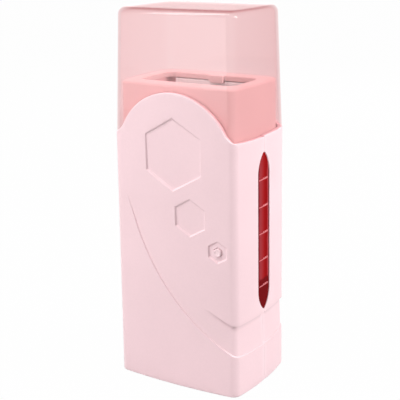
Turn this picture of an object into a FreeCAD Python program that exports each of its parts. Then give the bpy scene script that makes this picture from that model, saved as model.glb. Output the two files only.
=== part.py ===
import FreeCAD
import Part
import math
import os

# Roll-on wax heater: a slim upright housing of two moulded half shells, which close on the plane
# Y = 0. A 100 ml wax cartridge drops into the well under the coral collar, two aluminium plates
# warm it, and a red lens in each side shows how much wax is left. The clear cap lifts off.
# Millimetres. +Z is up, the front faces -Y, and the origin is the middle of the underside.

V = FreeCAD.Vector

# ---- Housing, seen from above: a rounded rectangle whose four sides all crown outwards ----
TOTAL_HEIGHT = 200.0
BODY_WIDTH = 78.0
BODY_DEPTH = 57.6
FRONT_BOW = 2.0
SIDE_BOW = 2.4
CORNER_RADIUS = 4.9
DRAFT = 0.005
SHELL_WALL = 2.4
BASE_EDGE_RADIUS = 1.0

# ---- Joint line between the shells and the cap: a dome in front, level at the sides ----
DOME_TOP = 159.0
DOME_INSET = 5.0
FLARE_RADIUS = 10.0
SIDE_LEVEL = 135.6
REAR_STEP = 1.2
CAP_GAP = 0.3

# ---- Relief: a proud foot under a sweeping line, and a sunk band above it on the right ----
SWEEP_RADIUS = 117.5
SWEEP_X = 86.6
SWEEP_Z = 129.5
SWEEP_TOP_Z = 89.5
SWEEP_DEPTH = 0.55
SWEEP_WIDTH = 11.8
SWEEP_FADE = 20.0
SWEEP_END_PROUD = 0.1
BAND_TOP = 40.3
BAND_DEPTH = 1.3
BAND_FADE_X = 19.5
BAND_SLOPE = 26.0
BAND_BEND = 14.0
BAND_LEVEL_RUN = 1.0
BAND_MARGIN = 7.0
SWEEP_STEPS = 6
BAND_STEPS = 4
OVERRUN = 0.25

# ---- Honeycomb recesses in the front: across as a share of the half width, up, centre to corner ----
HEX_DEPTH = 1.1
HEX_WALL_SLOPE = 0.7
LARGE_HEX_SHARE = 0.018
LARGE_HEX_Z = 127.5
LARGE_HEX_RADIUS = 19.0
MEDIUM_HEX_SHARE = 0.269
MEDIUM_HEX_Z = 95.6
MEDIUM_HEX_RADIUS = 10.1
SMALL_HEX_SHARE = 0.674
SMALL_HEX_Z = 79.5
SMALL_HEX_RADIUS = 6.0

# ---- Sight window in each side ----
WINDOW_HALF_WIDTH = 6.2
WINDOW_BOTTOM = 42.4
WINDOW_TOP = 128.3
WINDOW_BOTTOM_POINT = 13.1
WINDOW_TOP_POINT = 12.5
LENS_SUNK = 0.75
LENS_CLEARANCE = 0.1
LENS_FLANGE = 1.8
LENS_FLANGE_THICKNESS = 1.1
MARK_COUNT = 5
MARK_PITCH = 14.63
MARK_TOP = 113.2
MARK_LENGTH = 9.8
MARK_THICKNESS = 0.7
MARK_HEIGHT = 0.25

# ---- Collar and the mouth of the well ----
RIM_HEIGHT = 162.5
COLLAR_CLEARANCE = 0.5
COLLAR_WALL = 2.0
COLLAR_TOP = 2.7
COLLAR_SOCKET = 4.0
COLLAR_CORNER_RADIUS = 4.0
COLLAR_EDGE_RADIUS = 1.4
RIM_SIDE_WIDTH = 11.0
RIM_FRONT_WIDTH = 14.4
MOUTH_CORNER = 5.0
MOUTH_EDGE_RADIUS = 0.6
LEDGE_THICKNESS = 2.0
TAB_X = 2.5
TAB_WIDTH = 8.5
TAB_HEIGHT = 4.0
TAB_REACH = 2.4
TAB_CHAMFER = 1.2

# ---- Well, heat plates and heater ----
WELL_FLOOR = 48.0
WELL_WALL = 1.6
WELL_SIDE_CLEARANCE = 0.3
WELL_SLOT_HALF_WIDTH = 7.0
PLATE_THICKNESS = 1.2
PLATE_BACKSET = 0.2
PLATE_SIDE_MARGIN = 4.0
PLATE_TOP_MARGIN = 0.4
HEATER_MARGIN = 5.5
HEATER_HEIGHT = 60.0
HEATER_THICKNESS = 5.0
HEATER_BOTTOM = 64.0
HEATER_CLEARANCE = 1.0
CLAMP_END = 3.0
CLAMP_WIDTH = 14.0
CLAMP_THICKNESS = 0.8
CLAMP_SCREW_MARGIN = 5.0
CLAMP_BOSS_RADIUS = 2.6
THERMOSTAT_SIZE = (15.0, 3.6, 7.0)
THERMOSTAT_BOTTOM = 134.0
FUSE_RADIUS = 1.8
FUSE_LENGTH = 11.0
POST_RADIUS = 3.0
POST_SIDE_MARGIN = 6.0
POST_FRONT_MARGIN = 4.4

# ---- Control board, switch and button ----
BOARD_POST_SPAN = 20.0
BOARD_SIDE_MARGIN = 6.0
BOARD_BOTTOM = 13.0
BOARD_TOP = 89.0
BOARD_THICKNESS = 1.6
BOARD_STANDOFF = 1.6
BOARD_BOSS_MARGIN = 5.0
BOARD_BOSS_RADIUS = 2.4
SWITCH_SIZE = 6.0
SWITCH_HEIGHT = 2.0
PLUNGER_RADIUS = 1.6
PLUNGER_CLEARANCE = 0.15
BUTTON_RADIUS = 2.4
BUTTON_CLEARANCE = 0.25
BUTTON_PROUD = 0.4
BUTTON_TRAVEL = 0.6
BUTTON_FLANGE = 3.8
BUTTON_FLANGE_THICKNESS = 0.8
FLANGE_GAP = 0.6
CAPACITOR_SIZE = (13.0, 8.0, 12.0)
CAPACITOR_PLACE = (2.5, 16.0)
TERMINAL_SIZE = (9.0, 8.0, 13.0)
TERMINAL_PLACE = (7.5, 1.0)
BOARD_NOTCH_CLEARANCE = 0.5

# ---- Figure-eight mains inlet, low in the back ----
INLET_HEIGHT = 20.0
INLET_WIDTH = 24.0
INLET_TALL = 14.0
INLET_LENGTH = 18.0
INLET_SUNK = 0.3
INLET_CLEARANCE = 0.1
INLET_FLANGE = 2.0
SOCKET_RADIUS = 4.25
SOCKET_WAIST = 3.4
SOCKET_SPACING = 7.7
SOCKET_DEPTH = 11.0
PIN_RADIUS = 1.2
PIN_SPACING = 8.6
PIN_LENGTH = 8.0
PIN_TIP = 0.4
PIN_SHANK_RADIUS = 1.0
PIN_TAIL = 3.0
LEAD_RADIUS = 1.0
LEAD_STRAIGHT = 5.0
LEAD_DROP = 8.0
HEATER_LEAD_X = 6.0
BEND_SHARE = 0.45

# ---- Screws, bosses and feet ----
SCREW_RADIUS = 1.4
SCREW_LENGTH = 20.0
SCREW_HEAD_RADIUS = 2.7
SCREW_HEAD_HEIGHT = 1.8
SCREW_SEAT_Y = 12.0
SCREW_SIDE_MARGIN = 9.5
SCREW_ROWS = (10.5, 33.5)
SHELL_BOSS_RADIUS = 3.2
SMALL_SCREW_RADIUS = 1.0
SMALL_HEAD_RADIUS = 2.0
SMALL_HEAD_HEIGHT = 1.3
SMALL_SCREW_LENGTH = 4.5
HOLE_CLEARANCE = 0.05
FOOT_RADIUS = 4.0
FOOT_THICKNESS = 1.5
FOOT_PROUD = 0.5
FOOT_SIDE_MARGIN = 14.5
FOOT_FRONT_MARGIN = 12.3

# ---- Cap ----
CAP_WALL = 1.6
CAP_TAPER = 1.9
CAP_EDGE_RADIUS = 4.0

# ---- Sizes that follow from the ones above ----
HALF_WIDTH = BODY_WIDTH / 2
HALF_DEPTH = BODY_DEPTH / 2
DOME_RADIUS = HALF_WIDTH - DOME_INSET
FRONT_RADIUS = ((HALF_WIDTH - SIDE_BOW) ** 2 + FRONT_BOW ** 2) / (2 * FRONT_BOW)
SIDE_RADIUS = ((HALF_DEPTH - FRONT_BOW) ** 2 + SIDE_BOW ** 2) / (2 * SIDE_BOW)
CLEAR_OUTSIDE = BODY_WIDTH
PAST = 1.0
NEAR = 0.05
SHARP_INNER_CORNER = 1.0
LARGE_HEX = (LARGE_HEX_SHARE * HALF_WIDTH, LARGE_HEX_Z, LARGE_HEX_RADIUS)
MEDIUM_HEX = (MEDIUM_HEX_SHARE * HALF_WIDTH, MEDIUM_HEX_Z, MEDIUM_HEX_RADIUS)
SMALL_HEX = (SMALL_HEX_SHARE * HALF_WIDTH, SMALL_HEX_Z, SMALL_HEX_RADIUS)
MOUTH_WIDTH = BODY_WIDTH - 2 * RIM_SIDE_WIDTH
MOUTH_DEPTH = BODY_DEPTH - 2 * RIM_FRONT_WIDTH
CLAMP_SCREW_SPACING = MOUTH_WIDTH - 2 * CLAMP_SCREW_MARGIN
CLAMP_LENGTH = CLAMP_SCREW_SPACING + 2 * CLAMP_END
HEATER_WIDTH = CLAMP_SCREW_SPACING - 2 * HEATER_MARGIN
POST_X = MOUTH_WIDTH / 2 - POST_SIDE_MARGIN
POST_Y = MOUTH_DEPTH / 2 - POST_FRONT_MARGIN
SCREW_X = HALF_WIDTH - SCREW_SIDE_MARGIN
FOOT_X = HALF_WIDTH - FOOT_SIDE_MARGIN
FOOT_Y = HALF_DEPTH - FOOT_FRONT_MARGIN
BOARD_LEFT = POST_X - BOARD_POST_SPAN
BOARD_RIGHT = HALF_WIDTH - BOARD_SIDE_MARGIN
BOARD_BOSSES = (
    (BOARD_LEFT + BOARD_BOSS_MARGIN, BOARD_TOP - BOARD_BOSS_MARGIN),
    (BOARD_LEFT + BOARD_BOSS_MARGIN, BOARD_BOTTOM + BOARD_BOSS_MARGIN),
    (BOARD_RIGHT - BOARD_BOSS_MARGIN, BOARD_BOTTOM + BOARD_BOSS_MARGIN),
)
COLLAR_INSET = SHELL_WALL + COLLAR_CLEARANCE
COLLAR_BOTTOM = SIDE_LEVEL - COLLAR_SOCKET
WELL_TOP = RIM_HEIGHT - COLLAR_TOP
PLATE_FACE_Y = MOUTH_DEPTH / 2 + PLATE_BACKSET
WELL_HALF_DEPTH = PLATE_FACE_Y + PLATE_THICKNESS
WELL_HALF_WIDTH = MOUTH_WIDTH / 2 + WELL_SIDE_CLEARANCE
WELL_BACK_Y = WELL_HALF_DEPTH + WELL_WALL
BOARD_BACK_Y = -WELL_BACK_Y - BOARD_STANDOFF
BOARD_FRONT_Y = BOARD_BACK_Y - BOARD_THICKNESS
HEATER_BACK_Y = WELL_HALF_DEPTH + HEATER_THICKNESS
SOCKET_FLOOR_Y = HALF_DEPTH - INLET_SUNK - SOCKET_DEPTH
INLET_FRONT_Y = HALF_DEPTH - INLET_SUNK - INLET_LENGTH
BAND_BOTTOM = SWEEP_Z - math.sqrt(SWEEP_RADIUS ** 2 - (HALF_WIDTH - SWEEP_X) ** 2)


# ---- Outlines and basic solids ----
def outline(z, inset, corner_radius=0):
    """The housing's plan at height z, set in evenly from its outer face by inset."""
    set_in = inset + DRAFT * z
    front_r = FRONT_RADIUS - set_in
    side_r = SIDE_RADIUS - set_in
    corner_r = corner_radius or max(CORNER_RADIUS - set_in, SHARP_INNER_CORNER)
    front_centre = V(0, FRONT_RADIUS - HALF_DEPTH, 0)
    side_centre = V(HALF_WIDTH - SIDE_RADIUS, 0, 0)
    between = side_centre - front_centre
    apart = between.Length
    along = ((front_r - corner_r) ** 2 - (side_r - corner_r) ** 2 + apart ** 2) / (2 * apart)
    across = math.sqrt((front_r - corner_r) ** 2 - along ** 2)
    forward = between * (1 / apart)
    corner = front_centre + forward * along + V(-forward.y, forward.x, 0) * across
    on_front = front_centre + (corner - front_centre) * (front_r / (front_r - corner_r))
    on_side = side_centre + (corner - side_centre) * (side_r / (side_r - corner_r))
    bisector = (on_front - corner) + (on_side - corner)
    on_corner = corner + bisector * (corner_r / bisector.Length)

    def at(point, x_sign, y_sign):
        return V(point.x * x_sign, point.y * y_sign, z)

    front_middle = V(0, -HALF_DEPTH + set_in, z)
    side_middle = V(HALF_WIDTH - set_in, 0, z)
    edges = [
        Part.Arc(at(on_front, -1, 1), front_middle, at(on_front, 1, 1)),
        Part.Arc(at(on_front, 1, 1), at(on_corner, 1, 1), at(on_side, 1, 1)),
        Part.Arc(at(on_side, 1, 1), side_middle, at(on_side, 1, -1)),
        Part.Arc(at(on_side, 1, -1), at(on_corner, 1, -1), at(on_front, 1, -1)),
        Part.Arc(at(on_front, 1, -1), V(0, -front_middle.y, z), at(on_front, -1, -1)),
        Part.Arc(at(on_front, -1, -1), at(on_corner, -1, -1), at(on_side, -1, -1)),
        Part.Arc(at(on_side, -1, -1), V(-side_middle.x, 0, z), at(on_side, -1, 1)),
        Part.Arc(at(on_side, -1, 1), at(on_corner, -1, 1), at(on_front, -1, 1)),
    ]
    return Part.Wire([edge.toShape() for edge in edges])


def block(low, low_inset, high, high_inset, corner_radius=0):
    """A solid of the housing's plan between two heights, with an inset at each."""
    sections = [outline(low, low_inset, corner_radius), outline(high, high_inset, corner_radius)]
    return Part.makeLoft(sections, True, True)


def box(x_range, y_range, z_range):
    size = [high - low for low, high in (x_range, y_range, z_range)]
    return Part.makeBox(*size, V(x_range[0], y_range[0], z_range[0]))


def rod_y(x, z, y_from, y_to, radius):
    """A round bar along Y."""
    return Part.makeCylinder(radius, y_to - y_from, V(x, y_from, z), V(0, 1, 0))


def rounded_box(half_width, half_depth, radius, low, high):
    solid = box((-half_width, half_width), (-half_depth, half_depth), (low, high))
    upright = [e for e in solid.Edges if abs(e.Vertexes[0].Z - e.Vertexes[1].Z) > radius / 10]
    return solid.makeFillet(radius, upright)


def front_y(x, z, inset):
    """Where the front face, set in by inset, lies at this x and z."""
    radius = FRONT_RADIUS - inset - DRAFT * z
    return FRONT_RADIUS - HALF_DEPTH - math.sqrt(radius ** 2 - x ** 2)


def front_half(solid):
    return solid.common(box((-CLEAR_OUTSIDE, CLEAR_OUTSIDE), (-CLEAR_OUTSIDE, 0), (-PAST, TOTAL_HEIGHT)))


def rear_half(solid):
    return solid.common(box((-CLEAR_OUTSIDE, CLEAR_OUTSIDE), (0, CLEAR_OUTSIDE), (-PAST, TOTAL_HEIGHT)))


def mirrored(solid, normal):
    return solid.mirror(V(0, 0, 0), normal)


def prism_y(edges, y_from, y_to):
    """Extrudes a closed outline that is drawn in the plane Y = 0."""
    face = Part.Face(Part.Wire([edge.toShape() for edge in edges]))
    face.translate(V(0, y_from, 0))
    return face.extrude(V(0, y_to - y_from, 0))


# ---- Joint line ----
def under_joint(side_level, gap, y_from, y_to):
    """Everything under the joint line between shells and cap, raised evenly by gap."""
    dome = DOME_RADIUS + gap
    flare = FLARE_RADIUS - gap
    level = side_level + gap
    dome_z = DOME_TOP - DOME_RADIUS
    flare_z = level + flare
    flare_x = math.sqrt((dome + flare) ** 2 - (flare_z - dome_z) ** 2)
    touch = dome / (dome + flare)
    touch_x = flare_x * touch
    touch_z = dome_z + (flare_z - dome_z) * touch
    turn = V(touch_x - flare_x, 0, touch_z - flare_z) + V(0, 0, -flare)
    bend = V(flare_x, 0, flare_z) + turn * (flare / turn.Length)
    edges = [
        Part.LineSegment(V(-CLEAR_OUTSIDE, 0, level), V(-flare_x, 0, level)),
        Part.Arc(V(-flare_x, 0, level), V(-bend.x, 0, bend.z), V(-touch_x, 0, touch_z)),
        Part.Arc(V(-touch_x, 0, touch_z), V(0, 0, dome_z + dome), V(touch_x, 0, touch_z)),
        Part.Arc(V(touch_x, 0, touch_z), bend, V(flare_x, 0, level)),
        Part.LineSegment(V(flare_x, 0, level), V(CLEAR_OUTSIDE, 0, level)),
        Part.LineSegment(V(CLEAR_OUTSIDE, 0, level), V(CLEAR_OUTSIDE, 0, -CLEAR_OUTSIDE)),
        Part.LineSegment(V(CLEAR_OUTSIDE, 0, -CLEAR_OUTSIDE), V(-CLEAR_OUTSIDE, 0, -CLEAR_OUTSIDE)),
        Part.LineSegment(V(-CLEAR_OUTSIDE, 0, -CLEAR_OUTSIDE), V(-CLEAR_OUTSIDE, 0, level)),
    ]
    return prism_y(edges, y_from, y_to)


# ---- Relief ----
def sweep_point(angle, radius):
    """A point seen from the front, on a circle about the sweep's centre."""
    return V(SWEEP_X - radius * math.cos(angle), 0, SWEEP_Z - radius * math.sin(angle))


def sweep_region():
    """Everything to the right of and above the sweeping line."""
    top_angle = math.asin((SWEEP_Z - SWEEP_TOP_Z) / SWEEP_RADIUS)
    end_angle = math.acos((SWEEP_X - HALF_WIDTH) / SWEEP_RADIUS)
    top = sweep_point(top_angle, SWEEP_RADIUS)
    end = sweep_point(end_angle, SWEEP_RADIUS)
    middle = sweep_point((top_angle + end_angle) / 2, SWEEP_RADIUS)
    tangent = V(-math.sin(top_angle), 0, math.cos(top_angle))
    high = top + tangent * CLEAR_OUTSIDE
    right = V(CLEAR_OUTSIDE, 0, end.z)
    far = V(CLEAR_OUTSIDE, 0, high.z)
    edges = [
        Part.LineSegment(high, top),
        Part.Arc(top, middle, end),
        Part.LineSegment(end, right),
        Part.LineSegment(right, far),
        Part.LineSegment(far, high),
    ]
    return prism_y(edges, -CLEAR_OUTSIDE, CLEAR_OUTSIDE)


def band_region():
    """Everything below the band's top line, which climbs and fades out on the front."""
    slope = math.radians(BAND_SLOPE)
    level_end = V(HALF_WIDTH - BAND_LEVEL_RUN, 0, BAND_TOP)
    climb_end = V(level_end.x - BAND_BEND * math.sin(slope), 0,
                  BAND_TOP + BAND_BEND * (1 - math.cos(slope)))
    bend = V(level_end.x - BAND_BEND * math.sin(slope / 2), 0,
             BAND_TOP + BAND_BEND * (1 - math.cos(slope / 2)))
    run = climb_end.x - BAND_FADE_X
    fade = V(BAND_FADE_X, 0, climb_end.z + run * math.tan(slope))
    left = V(-CLEAR_OUTSIDE, 0, fade.z + (BAND_FADE_X + CLEAR_OUTSIDE) * math.tan(2 * slope))
    low_left = V(-CLEAR_OUTSIDE, 0, 0)
    low_right = V(CLEAR_OUTSIDE, 0, 0)
    high_right = V(CLEAR_OUTSIDE, 0, BAND_TOP)
    edges = [
        Part.LineSegment(high_right, level_end),
        Part.Arc(level_end, bend, climb_end),
        Part.LineSegment(climb_end, fade),
        Part.LineSegment(fade, left),
        Part.LineSegment(left, low_left),
        Part.LineSegment(low_left, low_right),
        Part.LineSegment(low_right, high_right),
    ]
    return prism_y(edges, -CLEAR_OUTSIDE, CLEAR_OUTSIDE), climb_end, fade


def relief_section(low, high, low_depth, high_depth):
    """One cross-section of the front cutter: from before the sweep line to past the relief's end."""
    outward = V(0, -BAND_DEPTH, 0)
    step = (high - low) * OVERRUN
    depth_step = (high_depth - low_depth) * OVERRUN
    past = high + step
    past_depth = high_depth + depth_step
    before = low - step
    before_depth = low_depth - depth_step
    inner_low = V(before.x, front_y(before.x, before.z, before_depth), before.z)
    inner_high = V(past.x, front_y(past.x, past.z, past_depth), past.z)
    outer_low = V(before.x, front_y(before.x, before.z, 0), before.z) + outward
    outer_high = V(past.x, front_y(past.x, past.z, 0), past.z) + outward
    return Part.makePolygon([inner_low, inner_high, outer_high, outer_low, inner_low])


def relief():
    """What the relief takes off the plain housing, front and back alike."""
    under_band, climb_end, fade = band_region()
    centre = V(SWEEP_X, 0, SWEEP_Z)
    fade_from_centre = fade - centre
    fade_angle = math.asin(-fade_from_centre.z / fade_from_centre.Length)
    top_angle = math.asin((SWEEP_Z - SWEEP_TOP_Z) / SWEEP_RADIUS)
    tangent = V(-math.sin(top_angle), 0, math.cos(top_angle))
    low_top = sweep_point(top_angle, SWEEP_RADIUS)
    high_top = sweep_point(top_angle, SWEEP_RADIUS - SWEEP_WIDTH)
    sections = []
    fade_out = tangent * SWEEP_FADE
    sections.append(relief_section(low_top + fade_out, high_top + fade_out,
                                   -SWEEP_END_PROUD, -SWEEP_END_PROUD))
    for i in range(SWEEP_STEPS + 1):
        angle = top_angle + (fade_angle - top_angle) * i / SWEEP_STEPS
        sections.append(relief_section(sweep_point(angle, SWEEP_RADIUS),
                                       sweep_point(angle, SWEEP_RADIUS - SWEEP_WIDTH), SWEEP_DEPTH, 0))
    low_end_x = climb_end.x
    low_start = sweep_point(fade_angle, SWEEP_RADIUS)
    for i in range(1, BAND_STEPS + 1):
        share = i / BAND_STEPS
        low_x = low_start.x + (low_end_x - low_start.x) * share
        low_z = SWEEP_Z - math.sqrt(SWEEP_RADIUS ** 2 - (low_x - SWEEP_X) ** 2)
        high = fade + (climb_end - fade) * share
        sections.append(relief_section(V(low_x, 0, low_z), high, SWEEP_DEPTH, BAND_DEPTH * share))
    front = Part.makeLoft(sections, True, True)
    low = BAND_BOTTOM - BAND_MARGIN
    high = BAND_TOP + BAND_MARGIN
    outside = block(low, -BAND_DEPTH, high, -BAND_DEPTH)
    extra = BAND_MARGIN * (BAND_DEPTH - SWEEP_DEPTH) / (BAND_TOP - BAND_BOTTOM)
    core = block(low, SWEEP_DEPTH - extra, high, BAND_DEPTH + extra)
    right_end = box((low_end_x, CLEAR_OUTSIDE), (-CLEAR_OUTSIDE, CLEAR_OUTSIDE), (low + PAST, high - PAST))
    around_side = outside.cut(core).common(right_end)
    whole = around_side.fuse([front, mirrored(front, V(0, 1, 0))])
    return whole.common(sweep_region()).common(under_band)


def hexagon(x, z, radius, y_from, y_to):
    """A six-sided bar along Y with a corner at the top."""
    corners = []
    for i in range(7):
        angle = math.radians(90 + 60 * i)
        corners.append(V(x + radius * math.cos(angle), y_from, z + radius * math.sin(angle)))
    return Part.Face(Part.makePolygon(corners)).extrude(V(0, y_to - y_from, 0))


def hexagon_recess(x, z, radius):
    """A recess whose floor meets the face along the upper right edge and is deepest opposite."""
    def corner(degrees, reach):
        angle = math.radians(degrees)
        return x + reach * math.cos(angle), z + reach * math.sin(angle)

    def on_floor(x_at, z_at):
        return V(x_at, level + x_slope * (x_at - x) + z_slope * (z_at - z), z_at)

    top = corner(90, radius)
    right = corner(30, radius)
    deepest = corner(240, radius * math.cos(math.radians(30)))
    a = V(top[0], front_y(*top, 0), top[1])
    b = V(right[0], front_y(*right, 0), right[1])
    c = V(deepest[0], front_y(*deepest, HEX_DEPTH), deepest[1])
    normal = (b - a).cross(c - a)
    x_slope = -normal.x / normal.y
    z_slope = -normal.z / normal.y
    level = a.y + x_slope * (x - a.x) + z_slope * (z - a.z)
    lift = HEX_DEPTH + PAST
    floor = []
    mouth = []
    for i in range(7):
        rim_x, rim_z = corner(90 + 60 * i, radius)
        depth = on_floor(rim_x, rim_z).y - front_y(rim_x, rim_z, 0)
        reach = radius - HEX_WALL_SLOPE * depth
        floor.append(on_floor(*corner(90 + 60 * i, reach)))
        mouth.append(on_floor(*corner(90 + 60 * i, reach + HEX_WALL_SLOPE * lift)) - V(0, lift, 0))
    return Part.makeLoft([Part.makePolygon(floor), Part.makePolygon(mouth)], True, True)


# ---- Housing shells ----
def housing():
    """The plain closed housing with its relief, before it is split into halves."""
    outer = block(FOOT_PROUD, 0, RIM_HEIGHT, 0)
    underside = [e for e in outer.Edges if max(v.Z for v in e.Vertexes) < FOOT_PROUD + NEAR]
    outer = outer.makeFillet(BASE_EDGE_RADIUS, underside)
    recesses = [hexagon_recess(*place) for place in (LARGE_HEX, MEDIUM_HEX, SMALL_HEX)]
    return outer.cut([relief()] + recesses)


def cavity():
    return block(FOOT_PROUD + SHELL_WALL, SHELL_WALL, RIM_HEIGHT + PAST, SHELL_WALL)


def window_outline(grow):
    """The window's pointed slot, seen from the side, grown evenly by about grow."""
    half = WINDOW_HALF_WIDTH + grow
    low_start = V(0, half, WINDOW_BOTTOM + WINDOW_BOTTOM_POINT)
    high_start = V(0, half, WINDOW_TOP - WINDOW_TOP_POINT)
    low_tip = V(0, 0, WINDOW_BOTTOM - grow)
    high_tip = V(0, 0, WINDOW_TOP + grow)

    def side_arc(start, tip, y_sign):
        rise = tip.z - start.z
        radius = (half ** 2 + rise ** 2) / (2 * half)
        turn = math.asin(abs(rise) / radius) / 2
        y = half - radius + radius * math.cos(turn)
        z = start.z + math.copysign(radius * math.sin(turn), rise)
        return Part.Arc(V(0, start.y * y_sign, start.z), V(0, y * y_sign, z), tip)

    return [
        Part.LineSegment(low_start, high_start),
        side_arc(high_start, high_tip, 1),
        side_arc(high_start, high_tip, -1),
        Part.LineSegment(V(0, -half, high_start.z), V(0, -half, low_start.z)),
        side_arc(low_start, low_tip, -1),
        side_arc(low_start, low_tip, 1),
    ]


def window_hole(grow):
    edges = [edge.toShape() for edge in window_outline(grow)]
    face = Part.Face(Part.Wire(Part.__sortEdges__(edges)))
    face.translate(V(-CLEAR_OUTSIDE, 0, 0))
    return face.extrude(V(2 * CLEAR_OUTSIDE, 0, 0))


def collar_ledge():
    """The shelf inside both shells on which the collar stands."""
    low = COLLAR_BOTTOM - LEDGE_THICKNESS
    reach = COLLAR_INSET + COLLAR_WALL
    outer = block(low, SHELL_WALL / 2, COLLAR_BOTTOM, SHELL_WALL / 2)
    ring = outer.cut(block(low - PAST, reach, COLLAR_BOTTOM + PAST, reach))
    return ring.cut(window_hole(LENS_FLANGE + 2 * LENS_CLEARANCE))


def corners(x, y_values):
    return [(x_sign * x, y) for x_sign in (-1, 1) for y in y_values]


def inside_housing(solid):
    """Trims what is moulded onto a wall so that it ends inside that wall."""
    return solid.common(block(FOOT_PROUD + SHELL_WALL / 2, SHELL_WALL / 2, RIM_HEIGHT, SHELL_WALL / 2))


def foot_pockets():
    return [Part.makeCylinder(FOOT_RADIUS + HOLE_CLEARANCE, FOOT_THICKNESS, V(x, y, 0))
            for x, y in corners(FOOT_X, (-FOOT_Y, FOOT_Y))]


def well_posts(y):
    top = WELL_FLOOR - WELL_WALL
    return [Part.makeCylinder(POST_RADIUS, top, V(x, y, 0)) for x, y in corners(POST_X, (y,))]


def front_shell(shape, hollow):
    wall = front_half(shape.cut(hollow)).common(under_joint(SIDE_LEVEL, 0, -CLEAR_OUTSIDE, 0))
    added = [front_half(collar_ledge())] + [inside_housing(post) for post in well_posts(-POST_Y)]
    for x, z in corners(SCREW_X, SCREW_ROWS):
        added.append(inside_housing(rod_y(x, z, -CLEAR_OUTSIDE, 0, SHELL_BOSS_RADIUS)))
    for x, z in BOARD_BOSSES:
        added.append(inside_housing(rod_y(x, z, -CLEAR_OUTSIDE, BOARD_FRONT_Y, BOARD_BOSS_RADIUS)))
    wall = wall.fuse(added)
    holes = foot_pockets() + [window_hole(0)]
    for x, z in corners(SCREW_X, SCREW_ROWS):
        holes.append(rod_y(x, z, SCREW_SEAT_Y - SCREW_LENGTH - PAST, PAST, SCREW_RADIUS + HOLE_CLEARANCE))
    for x, z in BOARD_BOSSES:
        start = BOARD_BACK_Y - SMALL_SCREW_LENGTH - HOLE_CLEARANCE
        holes.append(rod_y(x, z, start, 0, SMALL_SCREW_RADIUS + HOLE_CLEARANCE))
    x, z, _ = SMALL_HEX
    holes.append(hexagon(x, z, BUTTON_RADIUS + BUTTON_CLEARANCE, -CLEAR_OUTSIDE, BOARD_FRONT_Y))
    return wall.cut(holes)


def rear_shell(shape, hollow):
    level = SIDE_LEVEL + REAR_STEP
    wall = rear_half(shape.cut(hollow)).common(under_joint(level, 0, 0, CLEAR_OUTSIDE))
    added = [rear_half(collar_ledge())] + [inside_housing(post) for post in well_posts(POST_Y)]
    sleeve = SCREW_HEAD_RADIUS + SHELL_WALL / 2
    for x, z in corners(SCREW_X, SCREW_ROWS):
        added.append(inside_housing(rod_y(x, z, 0, CLEAR_OUTSIDE, sleeve)))
    wall = wall.fuse(added)
    holes = foot_pockets() + [window_hole(0)]
    for x, z in corners(SCREW_X, SCREW_ROWS):
        holes.append(rod_y(x, z, -PAST, CLEAR_OUTSIDE, SCREW_RADIUS + 2 * HOLE_CLEARANCE))
        holes.append(rod_y(x, z, SCREW_SEAT_Y, CLEAR_OUTSIDE, SCREW_HEAD_RADIUS + 2 * HOLE_CLEARANCE))
    half_wide = INLET_WIDTH / 2 + INLET_CLEARANCE
    half_tall = INLET_TALL / 2 + INLET_CLEARANCE
    holes.append(box((-half_wide, half_wide), (INLET_FRONT_Y, CLEAR_OUTSIDE),
                     (INLET_HEIGHT - half_tall, INLET_HEIGHT + half_tall)))
    return wall.cut(holes)


# ---- Collar, well and heat plates ----
def collar():
    outer = block(COLLAR_BOTTOM, COLLAR_INSET, RIM_HEIGHT, COLLAR_INSET, COLLAR_CORNER_RADIUS)
    rim = [e for e in outer.Edges if min(v.Z for v in e.Vertexes) > RIM_HEIGHT - NEAR]
    outer = outer.makeFillet(COLLAR_EDGE_RADIUS, rim)
    inner = COLLAR_INSET + COLLAR_WALL
    inner_corner = max(COLLAR_CORNER_RADIUS - COLLAR_WALL, SHARP_INNER_CORNER)
    hollow = block(COLLAR_BOTTOM - PAST, inner, WELL_TOP, inner, inner_corner)
    mouth = rounded_box(MOUTH_WIDTH / 2, MOUTH_DEPTH / 2, MOUTH_CORNER, WELL_TOP - PAST, RIM_HEIGHT + PAST)
    ring = outer.cut([hollow, mouth])
    lip = [e for e in ring.Edges if min(v.Z for v in e.Vertexes) > RIM_HEIGHT - NEAR
           and e.BoundBox.XMax < MOUTH_WIDTH / 2 + NEAR and e.BoundBox.XMin > -MOUTH_WIDTH / 2 - NEAR
           and e.BoundBox.YMax < MOUTH_DEPTH / 2 + NEAR and e.BoundBox.YMin > -MOUTH_DEPTH / 2 - NEAR]
    ring = ring.makeFillet(MOUTH_EDGE_RADIUS, lip)
    return ring.fuse(catch_tab()).removeSplitter()


def catch_tab():
    """The tongue on the back of the mouth that holds the cartridge's shoulder."""
    sides = (TAB_X - TAB_WIDTH / 2, TAB_X + TAB_WIDTH / 2)
    low = RIM_HEIGHT - TAB_HEIGHT
    front = MOUTH_DEPTH / 2 - TAB_REACH
    back = MOUTH_DEPTH / 2 + MOUTH_EDGE_RADIUS + COLLAR_TOP / 2
    tab = box(sides, (front, back), (RIM_HEIGHT - COLLAR_TOP, RIM_HEIGHT))
    drop = box(sides, (front, MOUTH_DEPTH / 2 - PLATE_BACKSET), (low, RIM_HEIGHT - COLLAR_TOP))
    tab = tab.fuse(drop).removeSplitter()
    left_low = [e for e in tab.Edges if e.BoundBox.XMax < sides[0] + NEAR and e.BoundBox.ZMax < low + NEAR]
    return tab.makeChamfer(TAB_CHAMFER, left_low)


def well_window():
    """Where the side walls of the well are open, so that the lens looks in."""
    low = WELL_FLOOR + WELL_WALL
    return box((-CLEAR_OUTSIDE, CLEAR_OUTSIDE), (-WELL_SLOT_HALF_WIDTH, WELL_SLOT_HALF_WIDTH),
               (low, WINDOW_TOP))


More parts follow.
